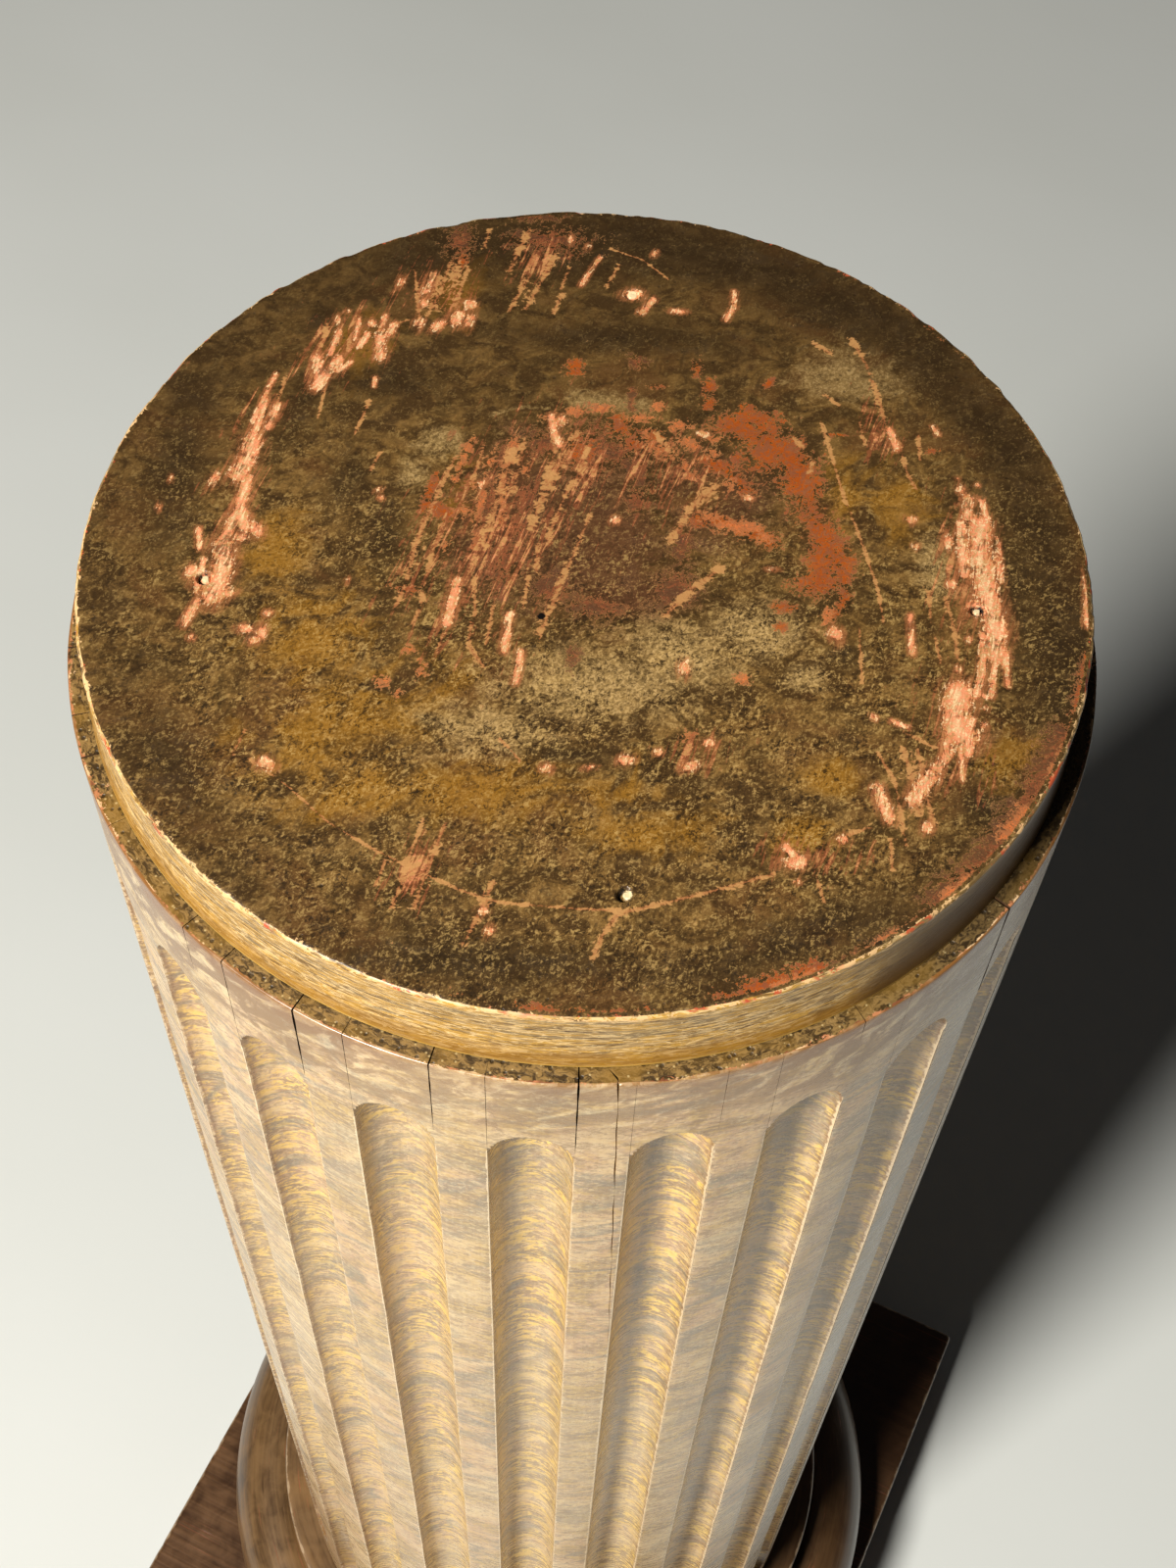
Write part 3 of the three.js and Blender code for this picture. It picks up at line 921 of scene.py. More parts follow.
# marks on the top. A spot is (x, y, half width, half length, lean in degrees where it leans), and a band
# is its width and the points it runs through.
topSpots = {
    "wear": [
        (-99, 8, 2.2, 3.4, 30), (-103, 5, 3, 2, 30), (-116, -9, 2, 2.6), (-105, -17, 3, 1.2, 20),
        (-112, -12, 3.6, 3.2), (-98, -29, 2.4, 1.6), (-93, -30, 1.4, 3), (-92, -23, 1.6, 1.4),
        (-95, -33, 2, 1.2, 40), (-113, -33, 1.2, 1.2), (-114, 26, 1.6, 3, -15), (-127, 26, 0.9, 1.6),
        (-129, 15, 0.8, 1.6), (-80, 99, 1.2, 0.8), (-83, 95, 1.2, 2), (-72, 94, 1.8, 1.8),
        (-64, 113, 1.4, 2.4), (-56, 104, 1.6, 2.4), (-57, 95, 1.8, 3), (-45, 98, 2.4, 4, -12),
        (-41, 97, 1.8, 3.6, -12), (-41, 104, 2.2, 2.4), (-51, 94, 3.4, 1.8, 35), (-129, 76, 1, 2),
        (113, 35, 1.6, 1.6), (112, 39, 1, 1), (118, 37, 0.9, 0.9), (114, -10, 3, 3), (108, -2, 1.8, 2),
        (108, 14, 1.8, 2.6), (98, 12, 1.2, 1.4), (97, 22, 1.6, 1.6), (112, -22, 1.2, 1.2),
        (108, -33, 1.2, 1.6), (115, -42, 0.9, 1), (115, -46, 1.1, 1.2), (114, -52, 1.3, 1.3),
        (111, -51, 1.3, 1.6), (96, -87, 1.8, 2), (83, -51, 1.4, 0.9, -35), (73, -92, 1.8, 1.8),
        (60, -100, 3.4, 2.2, 10), (60, -106, 1.4, 0.9), (-22, -125, 1.2, 2, -15), (-24, -119, 1.6, 1.6),
        (-9, -73, 1.9, 1.5), (13, -69, 2.4, 1.8, 20), (3, -72, 2, 0.9, 15), (31, -70, 2.8, 1.8, 20),
        (36, -62, 2.4, 1.4), (22, -66, 1.4, 1.2), (29, -37, 1.6, 2.8), (-87, -75, 3, 2, -30),
        (26, 105, 2.6, 1.1), (11, 112, 3.2, 2.2), (-4, 133, 1, 1.4), (18, 131, 0.9, 1.8, -25),
        (-10, 136, 1, 2), (8, 17, 1.6, 1.6), (-64, 25, 1.6, 0.8, 40), (-63, 22, 1, 1), (55, 1, 1.8, 0.9),
        (-70, -10, 0.8, 1.6), (73, -22, 2, 3, 10), (-10, 56, 2, 2.4), (34, 53, 2, 1.4), (48, 28, 1.6, 1.2),
        (-33, 29, 1.4, 1.6),
    ],
    "ember": [
        (22, 46, 4, 3, 20), (24, 43, 3, 2), (-46, -41, 2.4, 3.2), (-50, -34, 2, 1.8), (36, 20, 3, 2.4),
        (41, 17, 3.6, 2.6), (47, 16, 4, 3), (52, 12, 3, 2.4), (20, 64, 2, 2), (-38, 18, 3, 3.4),
        (-36, 29, 2.4, 2), (42, 33, 3, 3), (71, -15, 2.2, 4, -10), (14, 58, 4, 2.4), (27, 56, 4, 1.8, 15),
        (30, 49, 4, 2.4, -25), (37, 45, 2.4, 2), (18, 48, 2, 2), (31, 36, 2, 2), (38, 51, 3, 1.8, 20),
        (-6, 60, 4, 1.8), (3, 62, 3, 1.8), (-14, 57, 3, 2.4), (-31, 38, 1.8, 5, -14),
        (-20, 36, 1.8, 4, -14), (-33, 6, 1.6, 5, -14), (-42, 4, 1.6, 4, -14), (-57, -46, 2.4, 2.4),
        (-52, -50, 1.6, 2), (46, -40, 2.4, 1.8), (30, -60, 4, 1.8, 15),
    ],
    "red": [
        (50, 60, 7, 4), (44, 57, 6, 4), (55, 46, 10, 8, 30), (16, 52, 5, 4), (9, 55, 4, 5), (69, -4, 7, 5),
        (58, -13, 3.4, 2), (57, -20, 1.8, 1.6), (-7, 79, 3.4, 3.4, 30), (48, 65, 3, 1.6), (36, 65, 2, 4),
        (20, 72, 2.4, 1.2), (-53, -12, 5, 1.8), (32, 81, 1.8, 3), (36, 73, 2, 3), (105, 50, 2, 1),
        (-4, 45, 5, 6, -15), (13, 48, 4, 3), (75, 6, 4, 6, 20), (-45, 124, 1.8, 3),
    ],
    "brick": [
        (-24, 0, 5, 11, -8), (-19, 24, 4, 6), (-27, 40, 3, 8, -12), (-14, 46, 6, 7, -14),
        (0, 44, 7, 12, -8), (8, 44, 5, 6), (-10, -10, 6, 6), (26, -8, 6, 8, -30), (4, -15, 10, 5),
        (14, 25, 4, 6), (-46, 132, 4.5, 8), (-16, 135, 12, 6), (-22, 146, 9, 2.4), (-3, -34, 2.4, 4),
        (13, 82, 3, 3.4), (-35, -16, 1.6, 1.4), (28, 10, 3, 9), (-30, 22, 3, 12, -8), (14, 37, 3, 3),
        (-22, 12, 4, 6),
    ],
    "hatch": [
        (-28, 8, 28, 50, -14), (-6, 40, 24, 26, -14), (24, 38, 24, 24, -14), (-46, 6, 14, 40, -14),
        (-80, 84, 16, 26, -35), (-52, 110, 16, 18, -14), (-22, 124, 14, 14, -14), (-104, 36, 9, 40, -8),
        (103, -58, 12, 26, 20), (110, 0, 8, 36), (88, 58, 7, 22, 14), (-44, -108, 9, 13, -14),
        (66, -98, 18, 8), (34, -64, 14, 7, 15),
    ],
    "maroon": [
        (-4, 12, 34, 38), (12, -10, 24, 12), (36, 28, 22, 22), (-26, 18, 18, 38, -8),
    ],
    "gold": [
        (-66, -62, 28, 13, 35), (-78, -30, 13, 15), (-93, -2, 8, 14), (-24, -80, 24, 8, 8),
        (20, -92, 14, 6), (-60, -82, 16, 8, 30), (92, 28, 8, 11), (122, -62, 9, 6, 40),
        (-46, 112, 7, 14, -12), (-76, 84, 8, 12, -20), (70, -72, 7, 5), (34, 27, 5, 9, -40),
        (78, 30, 5, 14), (12, -80, 14, 4), (62, -92, 8, 5, 20), (-36, 22, 5, 14),
    ],
    "grey": [
        (5, -42, 30, 13, 4), (28, -32, 16, 12, -20), (-28, -60, 18, 8, -10), (-47, 45, 7, 7),
        (-54, 32, 5, 6), (0, 65, 9, 4), (12, 64, 6, 4), (80, 80, 16, 10), (-22, -66, 9, 2, -35),
        (50, -22, 14, 10), (103, 4, 5, 12), (107, -48, 3, 6), (64, -38, 6, 5),
    ],
    "dark": [
        (-57, 68, 5, 5), (-74, 28, 9, 16, -10), (-60, 8, 9, 14), (51, 94, 2.4, 2.4), (-65, 70, 20, 10),
        (128, 0, 12, 44), (10, 128, 56, 14), (70, 110, 36, 16, -30), (-20, -134, 70, 9),
        (62, -122, 44, 10, 25), (-125, 30, 12, 46), (-112, -76, 12, 26, 30), (10, 92, 56, 9),
        (31, -98, 2, 2), (-33, -84, 1, 1), (52, 57, 1.6, 2), (40, 48, 3, 4), (-96, -30, 6, 6),
        (76, -30, 8, 7), (112, -80, 9, 12, 30), (-88, 96, 5, 8, -40), (-36, 118, 5, 6), (38, 44, 3, 5, 20),
        (-90, 60, 8, 30, -20), (-2, -68, 22, 4),
    ],
}
topBands = {
    "wear": [
        (1.6, [(-100, 71), (-103, 59), (-105, 50)]), (2.6, [(-98, 58), (-100, 48)]),
        (2.2, [(-102, 60), (-103, 50), (-105, 43)]), (6.5, [(-104, 42), (-105, 34), (-107, 29)]),
        (4, [(-104, 27), (-105, 15), (-108, 4)]), (4, [(-104, 15), (-103, 8)]),
        (7, [(-108, 1), (-107, -8), (-109, -18)]), (3, [(-113, -20), (-116, -28)]),
        (2, [(-116, 7), (-115, 0)]), (2, [(-113, -4), (-114, -16)]), (4, [(-88, 78), (-86, 70), (-87, 66)]),
        (3.6, [(-81, 78), (-84, 72), (-86, 67)]), (2, [(-77, 77), (-81, 73)]),
        (2.2, [(-82, 90), (-84, 80)]), (1.6, [(-76, 96), (-77, 87)]), (3, [(-73, 89), (-75, 84)]),
        (3.8, [(-69, 90), (-68, 80)]), (1.8, [(-68, 98), (-69, 93)]), (2.8, [(-65, 94), (-66, 90)]),
        (1.6, [(-69, 71), (-69, 67)]), (2.8, [(-54, 117), (-56, 109)]), (3.6, [(115, 31), (114, 24)]),
        (2.2, [(119, 31), (120, 24)]), (7.5, [(118, 21), (117, 10), (118, 0), (119, -10), (120, -20)]),
        (3.6, [(112, 21), (112, 2)]), (1.6, [(123, 16), (123, 0)]), (6.5, [(120, -15), (119, -27)]),
        (2.6, [(116, -20), (115, -32), (113, -42)]), (2, [(119, -28), (117, -42)]),
        (1.8, [(122, -25), (122, -38)]), (9, [(108, -41), (106, -50), (108, -57)]),
        (3, [(110, -57), (109, -62)]), (3.4, [(104, -62), (100, -67)]), (1.6, [(107, -60), (107, -71)]),
        (1.8, [(105, -50), (103, -60)]), (5, [(98, -70), (93, -78)]), (3.6, [(83, -75), (86, -85)]),
        (1.8, [(88, -52), (93, -54)]), (2.2, [(92, 58), (94, 50)]), (1.7, [(106, 60), (107, 57)]),
        (2, [(95, -14), (95, -28)]), (2.2, [(57, -95), (62, -100)]), (2.4, [(-18, -33), (-19, -44)]),
        (2.6, [(-22, -20), (-23, -33)]), (3, [(-38, -8), (-40, -24)]),
        (2.6, [(-13, 58), (-12, 50), (-10, 46)]), (2.4, [(18, 110), (14, 104)]),
        (2, [(44, 115), (44, 108), (41, 102)]), (1.8, [(0, 128), (-6, 115)]), (2.4, [(147, -15), (149, 6)]),
    ],
    "ember": [
        (3.4, [(-37, 47), (-41, 30)]), (4.4, [(-24, 46), (-27, 28), (-26, 14)]),
        (2.4, [(-32, 26), (-34, 14)]), (2.4, [(28, 42), (30, 35)]), (3, [(17, 54), (15, 49)]),
        (3, [(54, -138), (63, -134)]), (2.4, [(76, -128), (90, -118)]), (4, [(100, -110), (108, -102)]),
        (5, [(118, -89), (124, -80)]), (3, [(132, -68), (137, -58)]),
    ],
    "red": [
        (13, [(44, 56), (54, 52), (62, 44), (65, 34)]), (10, [(65, 34), (67, 24), (70, 14), (74, 6)]),
        (8, [(70, 10), (69, -2)]), (6, [(35, 42), (42, 38), (47, 32)]),
        (4, [(76, 2), (76, -10), (72, -16)]), (3, [(-47, 32), (-50, 18)]), (6, [(-48, 20), (-43, 17)]),
        (7, [(34, 19), (44, 17), (54, 11)]), (1.2, [(73, 55), (79, 55)]), (2, [(56, 77), (54, 74)]),
        (5, [(-30, -147), (-18, -149), (20, -149)]), (6, [(40, -142), (64, -133)]),
        (3, [(95, -116), (120, -90), (137, -61), (147, -25)]), (3, [(104, 107), (120, 90)]),
    ],
    "brick": [
        (2.4, [(10, 40), (16, 34), (15, 32)]), (3, [(12, 62), (12, 70)]), (6, [(44, -142), (64, -133)]),
        (4, [(70, -132), (98, -113)]), (9, [(98, -110), (110, -99), (122, -82), (130, -68), (137, -54)]),
        (5, [(141, -47), (146, -28)]),
    ],
    "grey": [
        (1.4, [(-32, 57), (-24, 61), (-14, 61)]),
    ],
    "dark": [
        (34, [(138, -40), (139, 0), (130, 48), (102, 94), (62, 124), (0, 138), (-60, 124)]),
        (2.6, [(-44, -58), (-38, -68)]), (1.2, [(24, 22), (23, 8), (21, -6)]), (1, [(28, 52), (28, 40)]),
        (3, [(7, 58), (6, 53)]), (1.2, [(46, 26), (47, 14)]),
    ],
}
# thin scratches through to the ground: width, and the points they run through
scratches = [
    (1.9, [(-42, 38), (-45, 28), (-48, 18), (-51, 5), (-53, -10), (-55, -18)]),
    (1.8, [(-44, 12), (-47, -5), (-48, -18), (-50, -25)]), (1.3, [(-41, -28), (-42, -34)]),
    (1.5, [(-33, 45), (-36, 30)]), (2.8, [(-25, 42), (-28, 20), (-31, 6)]), (2.2, [(-21, 46), (-23, 28)]),
    (2.4, [(-11, 47), (-14, 28), (-17, 14)]), (2.4, [(-5, 51), (-9, 38), (-14, 24)]),
    (1.7, [(-2, 38), (-8, 25), (-12, 10)]), (1.7, [(0, 18), (-4, 4), (-9, -12), (-13, -28)]),
    (3, [(-9, -14), (-13, -26)]), (1.4, [(-17, -4), (-18, -16)]), (1.7, [(-15, 6), (-15, -3)]),
    (1.8, [(-33, -24), (-33, -32), (-29, -38)]), (1.6, [(-27, -18), (-28, -30)]),
    (1.5, [(-33, -8), (-32, -20)]), (4, [(37, 31), (32, 25)]), (2.2, [(31, 24), (25, 11)]),
    (2.4, [(39, 0), (31, -8), (24, -17)]),
    (1.2, [(71, 60), (74, 45), (77, 30), (80, 20), (83, 8), (86, -5), (87, -16)]),
    (2, [(82, 95), (86, 85), (89, 72), (91, 60), (94, 50)]), (1.6, [(70, 93), (74, 90)]),
    (1.3, [(73, 71), (76, 68)]), (1.3, [(63, 52), (68, 44), (67, 40)]), (1.6, [(-1, 48), (-3, 38)]),
    (1.8, [(20, 52), (25, 43)]), (1, [(-84, 66), (-85, 54)]), (1.3, [(-65, 39), (-67, 33)]),
    (1.2, [(-61, 96), (-65, 94)]), (1.4, [(-57, 98), (-60, 118)]),
    (1.8, [(106, -8), (108, -20), (108, -28)]), (1.6, [(101, -6), (101, -16)]),
    (1.3, [(102, -22), (103, -30)]), (1.9, [(91, -62), (93, -72), (94, -82)]),
    (1.9, [(95, -62), (96, -72), (98, -85)]), (1.4, [(84, -64), (88, -72), (89, -82), (90, -92)]),
    (1.3, [(86, -92), (86, -100)]), (1.6, [(75, -90), (80, -88)]), (1.4, [(92, -56), (99, -60)]),
    (1.8, [(95, 52), (96, 45), (97, 40), (99, 35)]), (1.4, [(101, 56), (101, 47)]),
    (1.3, [(83, 60), (84, 53)]), (0.9, [(-91, -74), (-80, -82), (-68, -93), (-55, -101), (-45, -106)]),
    (1, [(-45, -106), (-30, -113), (-20, -116), (0, -117), (12, -117)]), (1.6, [(-94, -65), (-96, -72)]),
    (1.7, [(12, -118), (8, -125), (6, -131)]), (1.5, [(12, -118), (25, -114), (40, -109), (53, -104)]),
    (1.3, [(-51, -104), (-53, -112)]), (1.8, [(-45, -106), (-48, -118)]), (1.1, [(-42, -92), (-45, -104)]),
    (2, [(-36, -93), (-40, -108), (-42, -118)]), (2, [(-22, -111), (-25, -120), (-28, -128)]),
    (1.2, [(65, -103), (67, -111)]), (2.4, [(-24, 139), (-27, 128), (-29, 121)]),
    (2, [(-24, 116), (-28, 103)]), (1.9, [(-15, 128), (-19, 115), (-23, 104)]),
    (1.4, [(-10, 122), (-12, 114)]), (1.8, [(-12, 110), (-14, 103)]), (1.7, [(6, 124), (3, 116)]),
    (0.9, [(4, 132), (14, 128), (22, 120)]), (1.6, [(-37, 138), (-38, 131)]),
    (1.6, [(-52, 116), (-54, 100)]), (1.6, [(-49, 122), (-52, 102)]), (1.6, [(-46, 122), (-49, 102)]),
    (1.5, [(-43, 120), (-46, 104)]), (1.4, [(-70, 60), (-73, 48)]), (1.2, [(-22, -64), (-17, -70)]),
    (1.1, [(80, -20), (80, -38)]), (1.5, [(-97, 68), (-98, 60)]), (1.4, [(-86, 92), (-87, 84)]),
]


def alongSegment(x, y, start, end):
    # how far a place is from a straight line between two points, and from the endless line to its side
    run, rise = end[0] - start[0], end[1] - start[1]
    share = np.clip(((x - start[0]) * run + (y - start[1]) * rise) / (run * run + rise * rise), 0, 1)
    away = np.hypot(x - start[0] - share * run, y - start[1] - share * rise)
    side = ((x - start[0]) * rise - (y - start[1]) * run) / sqrt(run * run + rise * rise)
    return away, side


def markField(x, y, spots, bands):
    # 1 along the middle of a mark, 0 at its edge and less outside: 1 - distance / half width
    best = np.full(x.shape, -1.5)
    for width, points in bands:
        for start, end in zip(points[:-1], points[1:]):
            away = alongSegment(x, y, start, end)[0]
            best = np.maximum(best, 1 - away / (width / 2))
    for atX, atY, halfWidth, halfLength, *lean in spots:
        side, ahead = turned(x - atX, y - atY, -radians(sum(lean)))
        best = np.maximum(best, 1 - np.hypot(side / halfWidth, ahead / halfLength))
    return best


def scratchFields(x, y):
    # the signed distance to the nearest scratch's line keeps it sharp between the points of the mesh,
    # and the plain distance, less the mesh's spacing, ends it: both are in half widths
    near, signed = np.full(x.shape, 9.0), np.full(x.shape, 9.0)
    for width, points in scratches:
        for start, end in zip(points[:-1], points[1:]):
            away, side = alongSegment(x, y, start, end)
            closer = (away - 0.9) / (width / 2)
            signed = np.where(closer < near, side / (width / 2), signed)
            near = np.minimum(near, closer)
    return near, np.clip(signed, -6, 6)


def makeCap():
    # Rings from the middle of the underside out, up the hollow side, over the rim and in to the middle
    # of the top. Side: r = foot to top radius, less hollow * sin(pi * share) of its height.
    nailTurns = [np.arctan2(nail["at"][1], nail["at"][0]) for nail in nails]
    close = [turn + np.radians(np.linspace(-2, 2, cap["nailColumns"])) for turn in nailTurns]
    plain = np.linspace(0, 2 * pi, cap["columns"] - 4 * cap["nailColumns"], endpoint=False)
    turn = np.unique(np.round(np.concatenate([plain, *close]) % (2 * pi), 5))
    low, high = shaftTop, capTop
    share = np.linspace(0, 1, cap["sideRows"])
    sideR = cap["footRadius"] + (cap["radius"] - cap["footRadius"]) * share
    sideR = sideR - cap["hollow"] * np.sin(pi * share)
    sideZ = low + cap["lip"] + (high - cap["rimEase"] - low - cap["lip"]) * share
    rim = arcPoints(cap["radius"] - cap["rimEase"], high - cap["rimEase"], cap["rimEase"], 0.3, pi / 2, 5)
    nearNail = cap["nailRing"] + np.linspace(-1, 1, cap["nailRows"]) * cap["nailReach"]
    plainTop = np.linspace(cap["radius"] - 2.4, 2, cap["topRows"] - len(nearNail))
    topR = np.sort(np.concatenate([plainTop, nearNail]))[::-1]
    foot, ease = cap["footRadius"], 0.4
    under = [(40, low), (110, low), (146, low), (foot - ease, low), (foot, low + ease)]
    top = np.stack([topR, np.full_like(topR, high)], -1)
    profile = np.concatenate([under, np.stack([sideR, sideZ], -1), rim, top])
    rows = len(profile)
    firstSide, firstRim, firstTop = len(under), len(under) + len(share), len(under) + len(share) + len(rim)
    radius = np.repeat(profile[:, :1], len(turn), 1)
    height = np.repeat(profile[:, 1:], len(turn), 1)
    x, y = radius * np.cos(turn), radius * np.sin(turn)

    # chips and rubbing round the rim pull it in and down
    toRim = np.hypot(radius - cap["radius"], np.minimum(height - high, 0))
    bite = np.clip(0.35 + 0.65 * unevenness(x, y, 7, 51) + 0.5 * unevenness(x, y, 2.4, 52), 0, 2)
    pull = cap["rimWear"] * bite * fade(toRim, 1.3)
    isUpper = np.arange(rows)[:, None] >= firstSide + cap["wornFrom"]
    radius = radius - np.where(isUpper, pull * 0.55, 0)
    height = height - np.where(isUpper, pull * 0.45, 0)
    x, y = radius * np.cos(turn), radius * np.sin(turn)

    onTop = np.arange(rows)[:, None] >= firstTop
    fields = {}
    for label in topSpots:
        fields[label] = np.where(onTop, markField(x, y, topSpots[label], topBands.get(label, [])), -1.5)
    fields["lineNear"], fields["lineSide"] = scratchFields(x, y)
    filler, hole = np.full(x.shape, -1.0), np.full(x.shape, -1.0)
    sunk = np.zeros(x.shape)
    for nail in nails:
        dx, dy = x - nail["at"][0], y - nail["at"][1]
        away = np.hypot(dx, dy) / cap["holeRadius"]
        sideX, sideY = nail["side"]
        reach = cap["holeRadius"] * nail["filler"]
        pad = np.hypot(dx - sideX * 1.2, dy - sideY * 1.2) / reach
        filler = np.maximum(filler, np.where(onTop, 1 - pad, -1))
        hole = np.maximum(hole, np.where(onTop, np.minimum(1 - away, (pad - 1) * 1.5), -1))
        bowl = cap["holeDepth"] * (1 - smoothStep(away, 0.55, 1.0))
        plug = 0.75 * bowl * (1 - smoothStep(pad, 0.7, 1.1))
        sunk = np.maximum(sunk, bowl - plug)
    tiny = np.hypot(x - cap["tinyHole"][0], y - cap["tinyHole"][1]) / cap["tinyHole"][2]
    hole = np.maximum(hole, np.where(onTop, 1 - tiny, -1))
    fields["filler"], fields["hole"] = filler, hole
    worn = smoothStep(fields["wear"], 0, 0.5)
    wave = cap["dish"] * (0.5 + 0.5 * unevenness(x, y, 38, 53)) + 0.05 * unevenness(x, y, 5, 54)
    wave = np.maximum(wave, 0)
    inner = smoothStep(cap["radius"] - radius, 2, 10)
    height = height - np.where(onTop, (wave + cap["wearDepth"] * worn) * inner + sunk, 0)

    rings = np.stack([*turned(x, y, viewTurn), height], -1)
    around = np.arctan2(x, -y)
    fields["seen"] = np.stack([x, y, height - high], -1) * mm
    fields["wrap"] = np.stack([x, height, y], -1) * mm
    fields["around"] = cap["radius"] * around * mm
    fields["rise"] = (height - low) / (high - low)
    redder = np.clip(0.84 + 0.25 * ripple(around, 55), 0.4, 1)
    fields["edge"] = fade(toRim, 1.9) * redder
    kinds = np.full((rows - 1, len(turn)), 2)
    kinds[firstSide - 1:firstRim + 3, :] = 1
    kinds[firstRim + 3:, :] = 0
    materials = [topPatina, capSidePaint, woodInGaps]
    return closedMesh("cap_paint", rings, materials, kinds, (2, 0), fields)


addPiece("painted_cap", makeCap(), "worn_varnish", "cap")
print("cap made")


# Round base: a torus with a fillet on it

base = {
    "columns": 400,
    "crownRows": 44,
    "underRadii": (60, 150, 170),
    "topRadii": (167.5, 161.5, 154.5, 120),
    "filletRadius": 172.5,
    "filletHeight": 25,
    "filletEase": 2.5,
    "sideRise": 20,
    "torusRadius": 210,
    "crease": 0.8,
    "turningMarks": 0.06,
    "dentCell": 16,
    "dentDepth": 1.4,
}


def makeRoundBase():
    # Torus: centre + tube * (cos, sin) from its foot to its crown, then a flat step, a crease and the
    # fillet's side with an eased edge; r and z are turned about the axis.
    low, high = nodeHeights("round_base")
    plinthHigh = nodeHeights("plinth")[1]
    torusTop = high - base["filletHeight"]
    tube = (torusTop - plinthHigh) / 2
    crown = arcPoints(base["torusRadius"] - tube, plinthHigh + tube, tube, -pi / 2, pi / 2, base["crownRows"])
    foot = base["filletRadius"]
    step = [(foot + 2.2, torusTop), (foot + 0.7, torusTop - base["crease"]), (foot, torusTop + 0.4)]
    side = [(foot, torusTop + share * base["sideRise"]) for share in (0.1, 0.3, 0.55, 0.8, 1.0)]
    ease = arcPoints(foot - base["filletEase"], high - base["filletEase"], base["filletEase"], 0, pi / 2, 7)
    top = [(radius, high) for radius in base["topRadii"]]
    under = [(radius, low) for radius in base["underRadii"]]
    profile = np.concatenate([under, crown, step, side, ease, top])
    turn = np.linspace(0, 2 * pi, base["columns"], endpoint=False)
    radius = np.repeat(profile[:, :1], len(turn), 1)
    height = np.repeat(profile[:, 1:], len(turn), 1)
    ridges = base["turningMarks"] * np.sin(height * 2.1 + radius * 1.3) * (height > low + 1)
    radius = radius + ridges * (radius < base["torusRadius"] - 0.5)
    dents = unevenness(radius * np.cos(turn), radius * np.sin(turn), base["dentCell"], 61)
    radius = radius - np.clip(dents - 0.72, 0, 1) * base["dentDepth"]
    edge = fade(height - high, 2.2) * fade(radius - foot, 2.6)
    # a little pale rubbing along the torus's outer limb: wear, and a painted reflection of the pale line seen
    # there
    edge = np.maximum(edge, 0.5 * fade(radius - base["torusRadius"], 1.6))
    rings = np.stack([radius * np.cos(turn), radius * np.sin(turn), height], -1)
    run = np.concatenate([[0], np.cumsum(np.hypot(*np.diff(profile, axis=0).T))])
    wrap = np.stack([rings[..., 0], np.repeat(run[:, None], len(turn), 1), rings[..., 1]], -1) * mm
    return closedMesh("round_base_varnish", rings, [turnedVarnish], values={"wrap": wrap, "edge": edge})


addPiece("varnished_round_base", makeRoundBase(), "dark_varnish", "round_base")


# Plinth: a square board with eased edges and knocked corners

plinth = {
    "perSide": 96,
    "cornerPoints": 7,
    "easeRows": 6,
    "sideRows": 16,
    "underInsets": (60, 20, 6),
    "topInsets": (4, 7, 12, 18, 26, 36, 50, 70, 95, 120, 150),
    "ease": 2.5,
    "cornerRound": 3.2,
    "knock": 1.2,
    "knockReach": 6,
}


def squareLoop(half, corner, perSide, cornerPoints):
    # four straight sides joined by quarter circles, anticlockwise from the +X side
    parts = []
    for quarter in range(4):
        side = np.linspace(-1, 1, perSide) * (half - corner)
        straight = np.stack([np.full(perSide, half), side], -1)
        bend = arcPoints(half - corner, half - corner, corner, 0, pi / 2, cornerPoints + 2)[1:-1]
        whole = np.concatenate([straight, bend])
        parts.append(np.stack(turned(whole[:, 0], whole[:, 1], quarter * pi / 2), -1))
    return np.concatenate(parts)


def makePlinth():
    # Loops at growing heights, each inset by the ease: inset = e (1 - cos), z = e (1 - sin) from the edge
    low, high = nodeHeights("plinth")
    half = nodePoints("plinth")[:, 0].max()
    ease = plinth["ease"]
    bend = np.linspace(0, pi / 2, plinth["easeRows"])
    under = [(inset, low) for inset in plinth["underInsets"]]
    lower = [(ease * (1 - sin(angle)), low + ease * (1 - cos(angle))) for angle in bend]
    side = [(0, height) for height in np.linspace(low + ease, high - ease, plinth["sideRows"])[1:-1]]
    upper = [(ease * (1 - cos(angle)), high - ease * (1 - sin(angle))) for angle in bend]
    top = [(inset, high) for inset in plinth["topInsets"]]
    rows = under + lower + side + upper + top
    loops = []
    for inset, height in rows:
        corner = max(plinth["cornerRound"] - inset, 0.4)
        loop = squareLoop(half - inset, corner, plinth["perSide"], plinth["cornerPoints"])
        loops.append(np.column_stack([loop, np.full(len(loop), height)]))
    rings = np.array(loops)
    x, y, z = rings[..., 0].copy(), rings[..., 1].copy(), rings[..., 2].copy()
    inset = half - np.maximum(np.abs(x), np.abs(y))
    nearEdge = fade(np.minimum(high - z, z - low) + inset, 3.0)
    bite = np.clip(unevenness(x + 7 * y, z + 11 * y, 13, 71) - 0.35, 0, 1) * nearEdge * plinth["knock"]
    rings[..., 0] -= np.sign(x) * bite * (np.abs(x) > half - plinth["knockReach"])
    rings[..., 1] -= np.sign(y) * bite * (np.abs(y) > half - plinth["knockReach"])
    corners = np.exp(-((np.abs(x) - half) ** 2 + (np.abs(y) - half) ** 2) / 60)
    edge = np.maximum(nearEdge, corners * 0.8)
    return closedMesh("plinth_varnish", rings, [boardVarnish], values={"edge": edge})


addPiece("varnished_plinth", makePlinth(), "dark_varnish", "plinth")
print("base and plinth made")


# Floor, light and camera

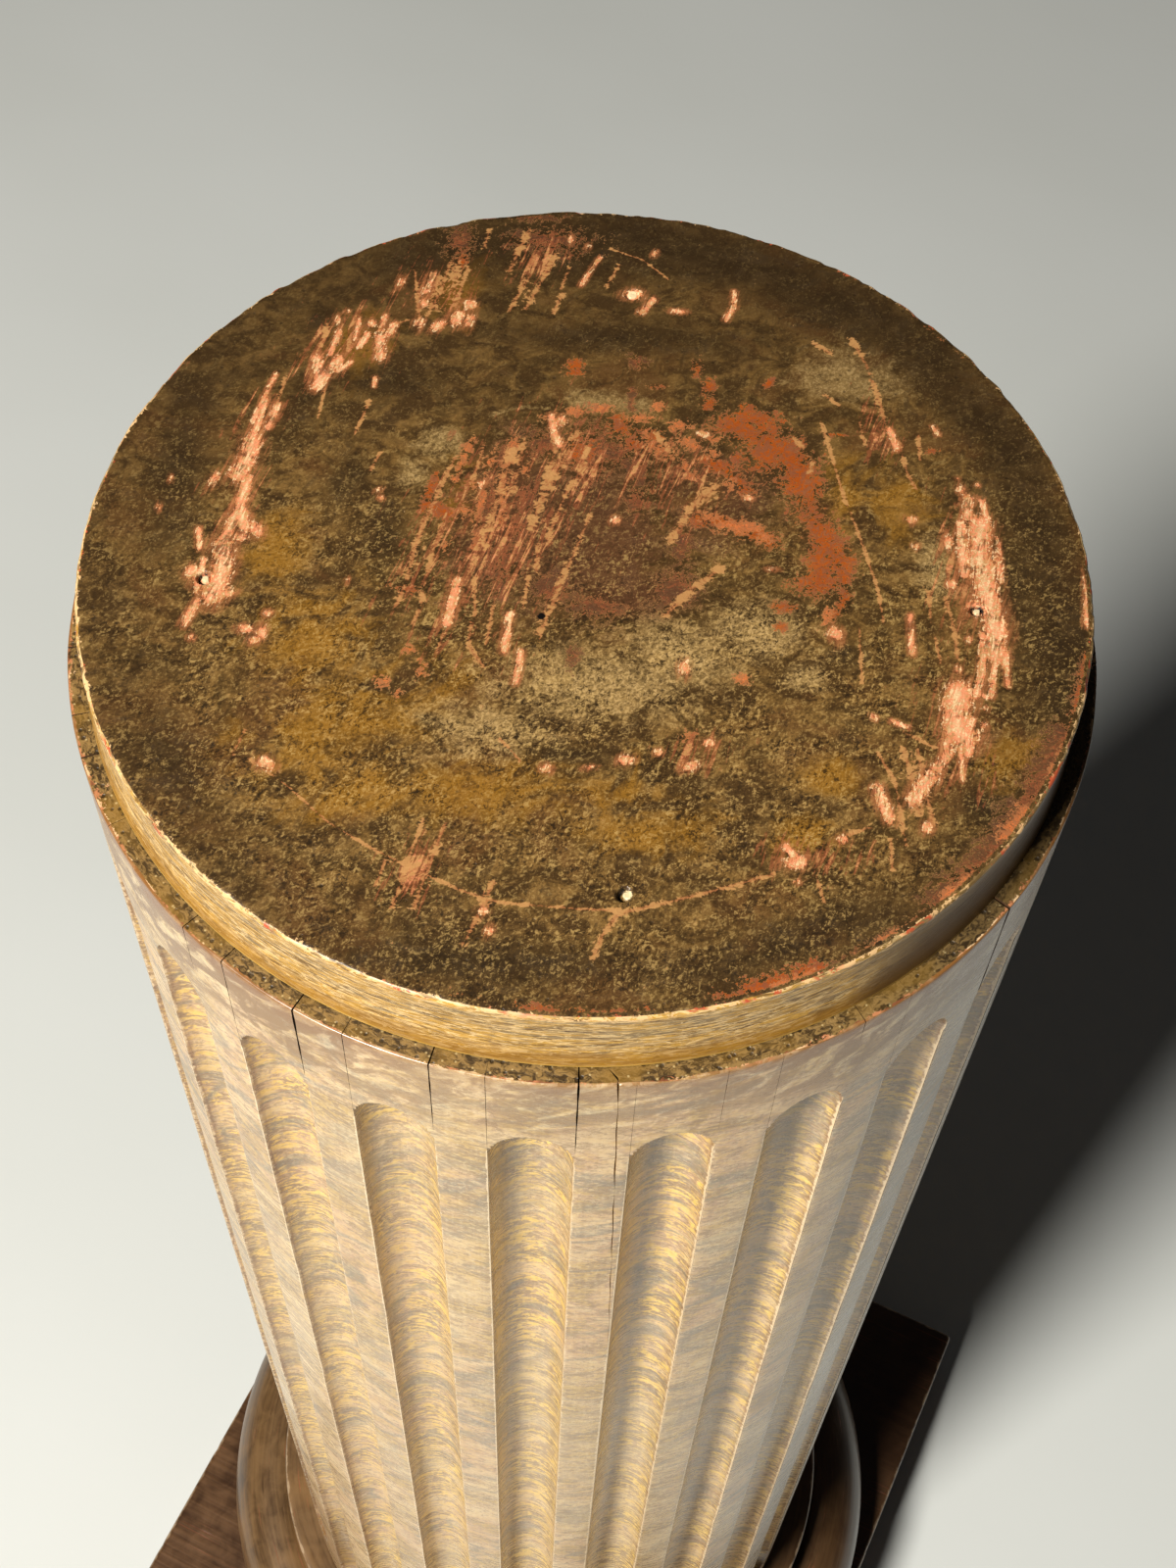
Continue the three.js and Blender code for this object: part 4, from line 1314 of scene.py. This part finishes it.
studio = {
    "floorSize": 16,
    "floorTone": tone(226, 226, 222),
    "floorDrift": tone(220, 220, 215),
    "keyTurn": -41.5,
    "keyRise": 49.9,
    "keyDistance": 3.595,
    "keySize": 0.729,
    "keyPower": 207,
    "keyColour": (1.0, 0.995, 0.94),
    "fill": 0.02,
    "backdrop": tone(206, 206, 202),
}


def makeFloor():
    mesh = bpy.data.meshes.new("floor")
    half = studio["floorSize"] / 2
    corners = [(-half, -half, 0), (half, -half, 0), (half, half, 0), (-half, half, 0)]
    mesh.from_pydata(corners, [], [(0, 1, 2, 3)])
    paint = Paint("paleFloor", studio, 0.2)
    where = objectPlace()
    drift = cloud(where, (700, 500, 500), 3, 0.5)
    dust = cloud(where, (9, 9, 9), 2, 0.5, shift=0.3)
    paint.start("floorTone", "floorDrift", level(drift, 0.3, 0.7))
    mesh.materials.append(paint.finish(level(drift, 0.3, 0.7, 0.7, 0.8), dust, 0.05))
    floor = bpy.data.objects.new("floor", mesh)
    bpy.context.scene.collection.objects.link(floor)


def makeKeyLight():
    turn, rise = radians(studio["keyTurn"]), radians(studio["keyRise"])
    outward = Vector((sin(turn) * cos(rise), -cos(turn) * cos(rise), sin(rise)))
    outward.rotate(Matrix.Rotation(viewTurn, 3, "Z"))
    lamp = bpy.data.lights.new("key", "AREA")
    lamp.shape = "DISK"
    lamp.size = studio["keySize"]
    lamp.energy = studio["keyPower"]
    lamp.color = studio["keyColour"]
    light = bpy.data.objects.new("key", lamp)
    middle = (cadLow + cadHigh) / 2
    light.location = middle + outward * studio["keyDistance"]
    light.rotation_euler = outward.to_track_quat("Z", "Y").to_euler()
    bpy.context.scene.collection.objects.link(light)


def makeWorld():
    # the camera sees a pale backdrop past the floor; the object gets only a faint fill from it
    world = bpy.data.worlds.new("studio")
    world.use_nodes = True
    easel["tree"] = world.node_tree
    backdrop = world.node_tree.nodes["Background"]
    backdrop.inputs["Color"].default_value = studio["backdrop"]
    fill = give("ShaderNodeBackground", {"Color": (1, 1, 1, 1), "Strength": studio["fill"]})
    toCamera = give("ShaderNodeLightPath", output="Is Camera Ray")
    mixed = give("ShaderNodeMixShader", {0: toCamera, 1: fill, 2: Signal(backdrop.outputs[0])})
    world.node_tree.links.new(mixed.socket, world.node_tree.nodes["World Output"].inputs["Surface"])
    bpy.context.scene.world = world


# the eye stands in front, well above the cap, and looks steeply down on it
eye = {
    "out": 400,
    "height": 1568,
    "yaw": 0.0085,
    "down": 0.9992,
    "roll": 0.0486,
    "lens": 49.49,
    "sensor": 36,
}


def makeCamera():
    yaw, down, roll = eye["yaw"], eye["down"], eye["roll"]
    forward = np.array([sin(yaw) * cos(down), cos(yaw) * cos(down), -sin(down)])
    right = np.array([cos(yaw), -sin(yaw), 0])
    upward = np.cross(right, forward)
    rightward = cos(roll) * right + sin(roll) * upward
    upward = cos(roll) * upward - sin(roll) * right
    axes = Matrix(np.column_stack([rightward, upward, -forward]).tolist())
    lens = bpy.data.cameras.new("eye")
    lens.lens = eye["lens"]
    lens.sensor_width = eye["sensor"]
    camera = bpy.data.objects.new("eye", lens)
    turn = Matrix.Rotation(viewTurn, 4, "Z")
    place = Matrix.Translation((0, -eye["out"] * mm, eye["height"] * mm))
    camera.matrix_world = turn @ place @ axes.to_4x4()
    bpy.context.scene.collection.objects.link(camera)
    bpy.context.scene.camera = camera


makeFloor()
makeKeyLight()
makeWorld()
makeCamera()
bpy.context.scene.view_settings.view_transform = "Standard"
print("floor, light and camera made")
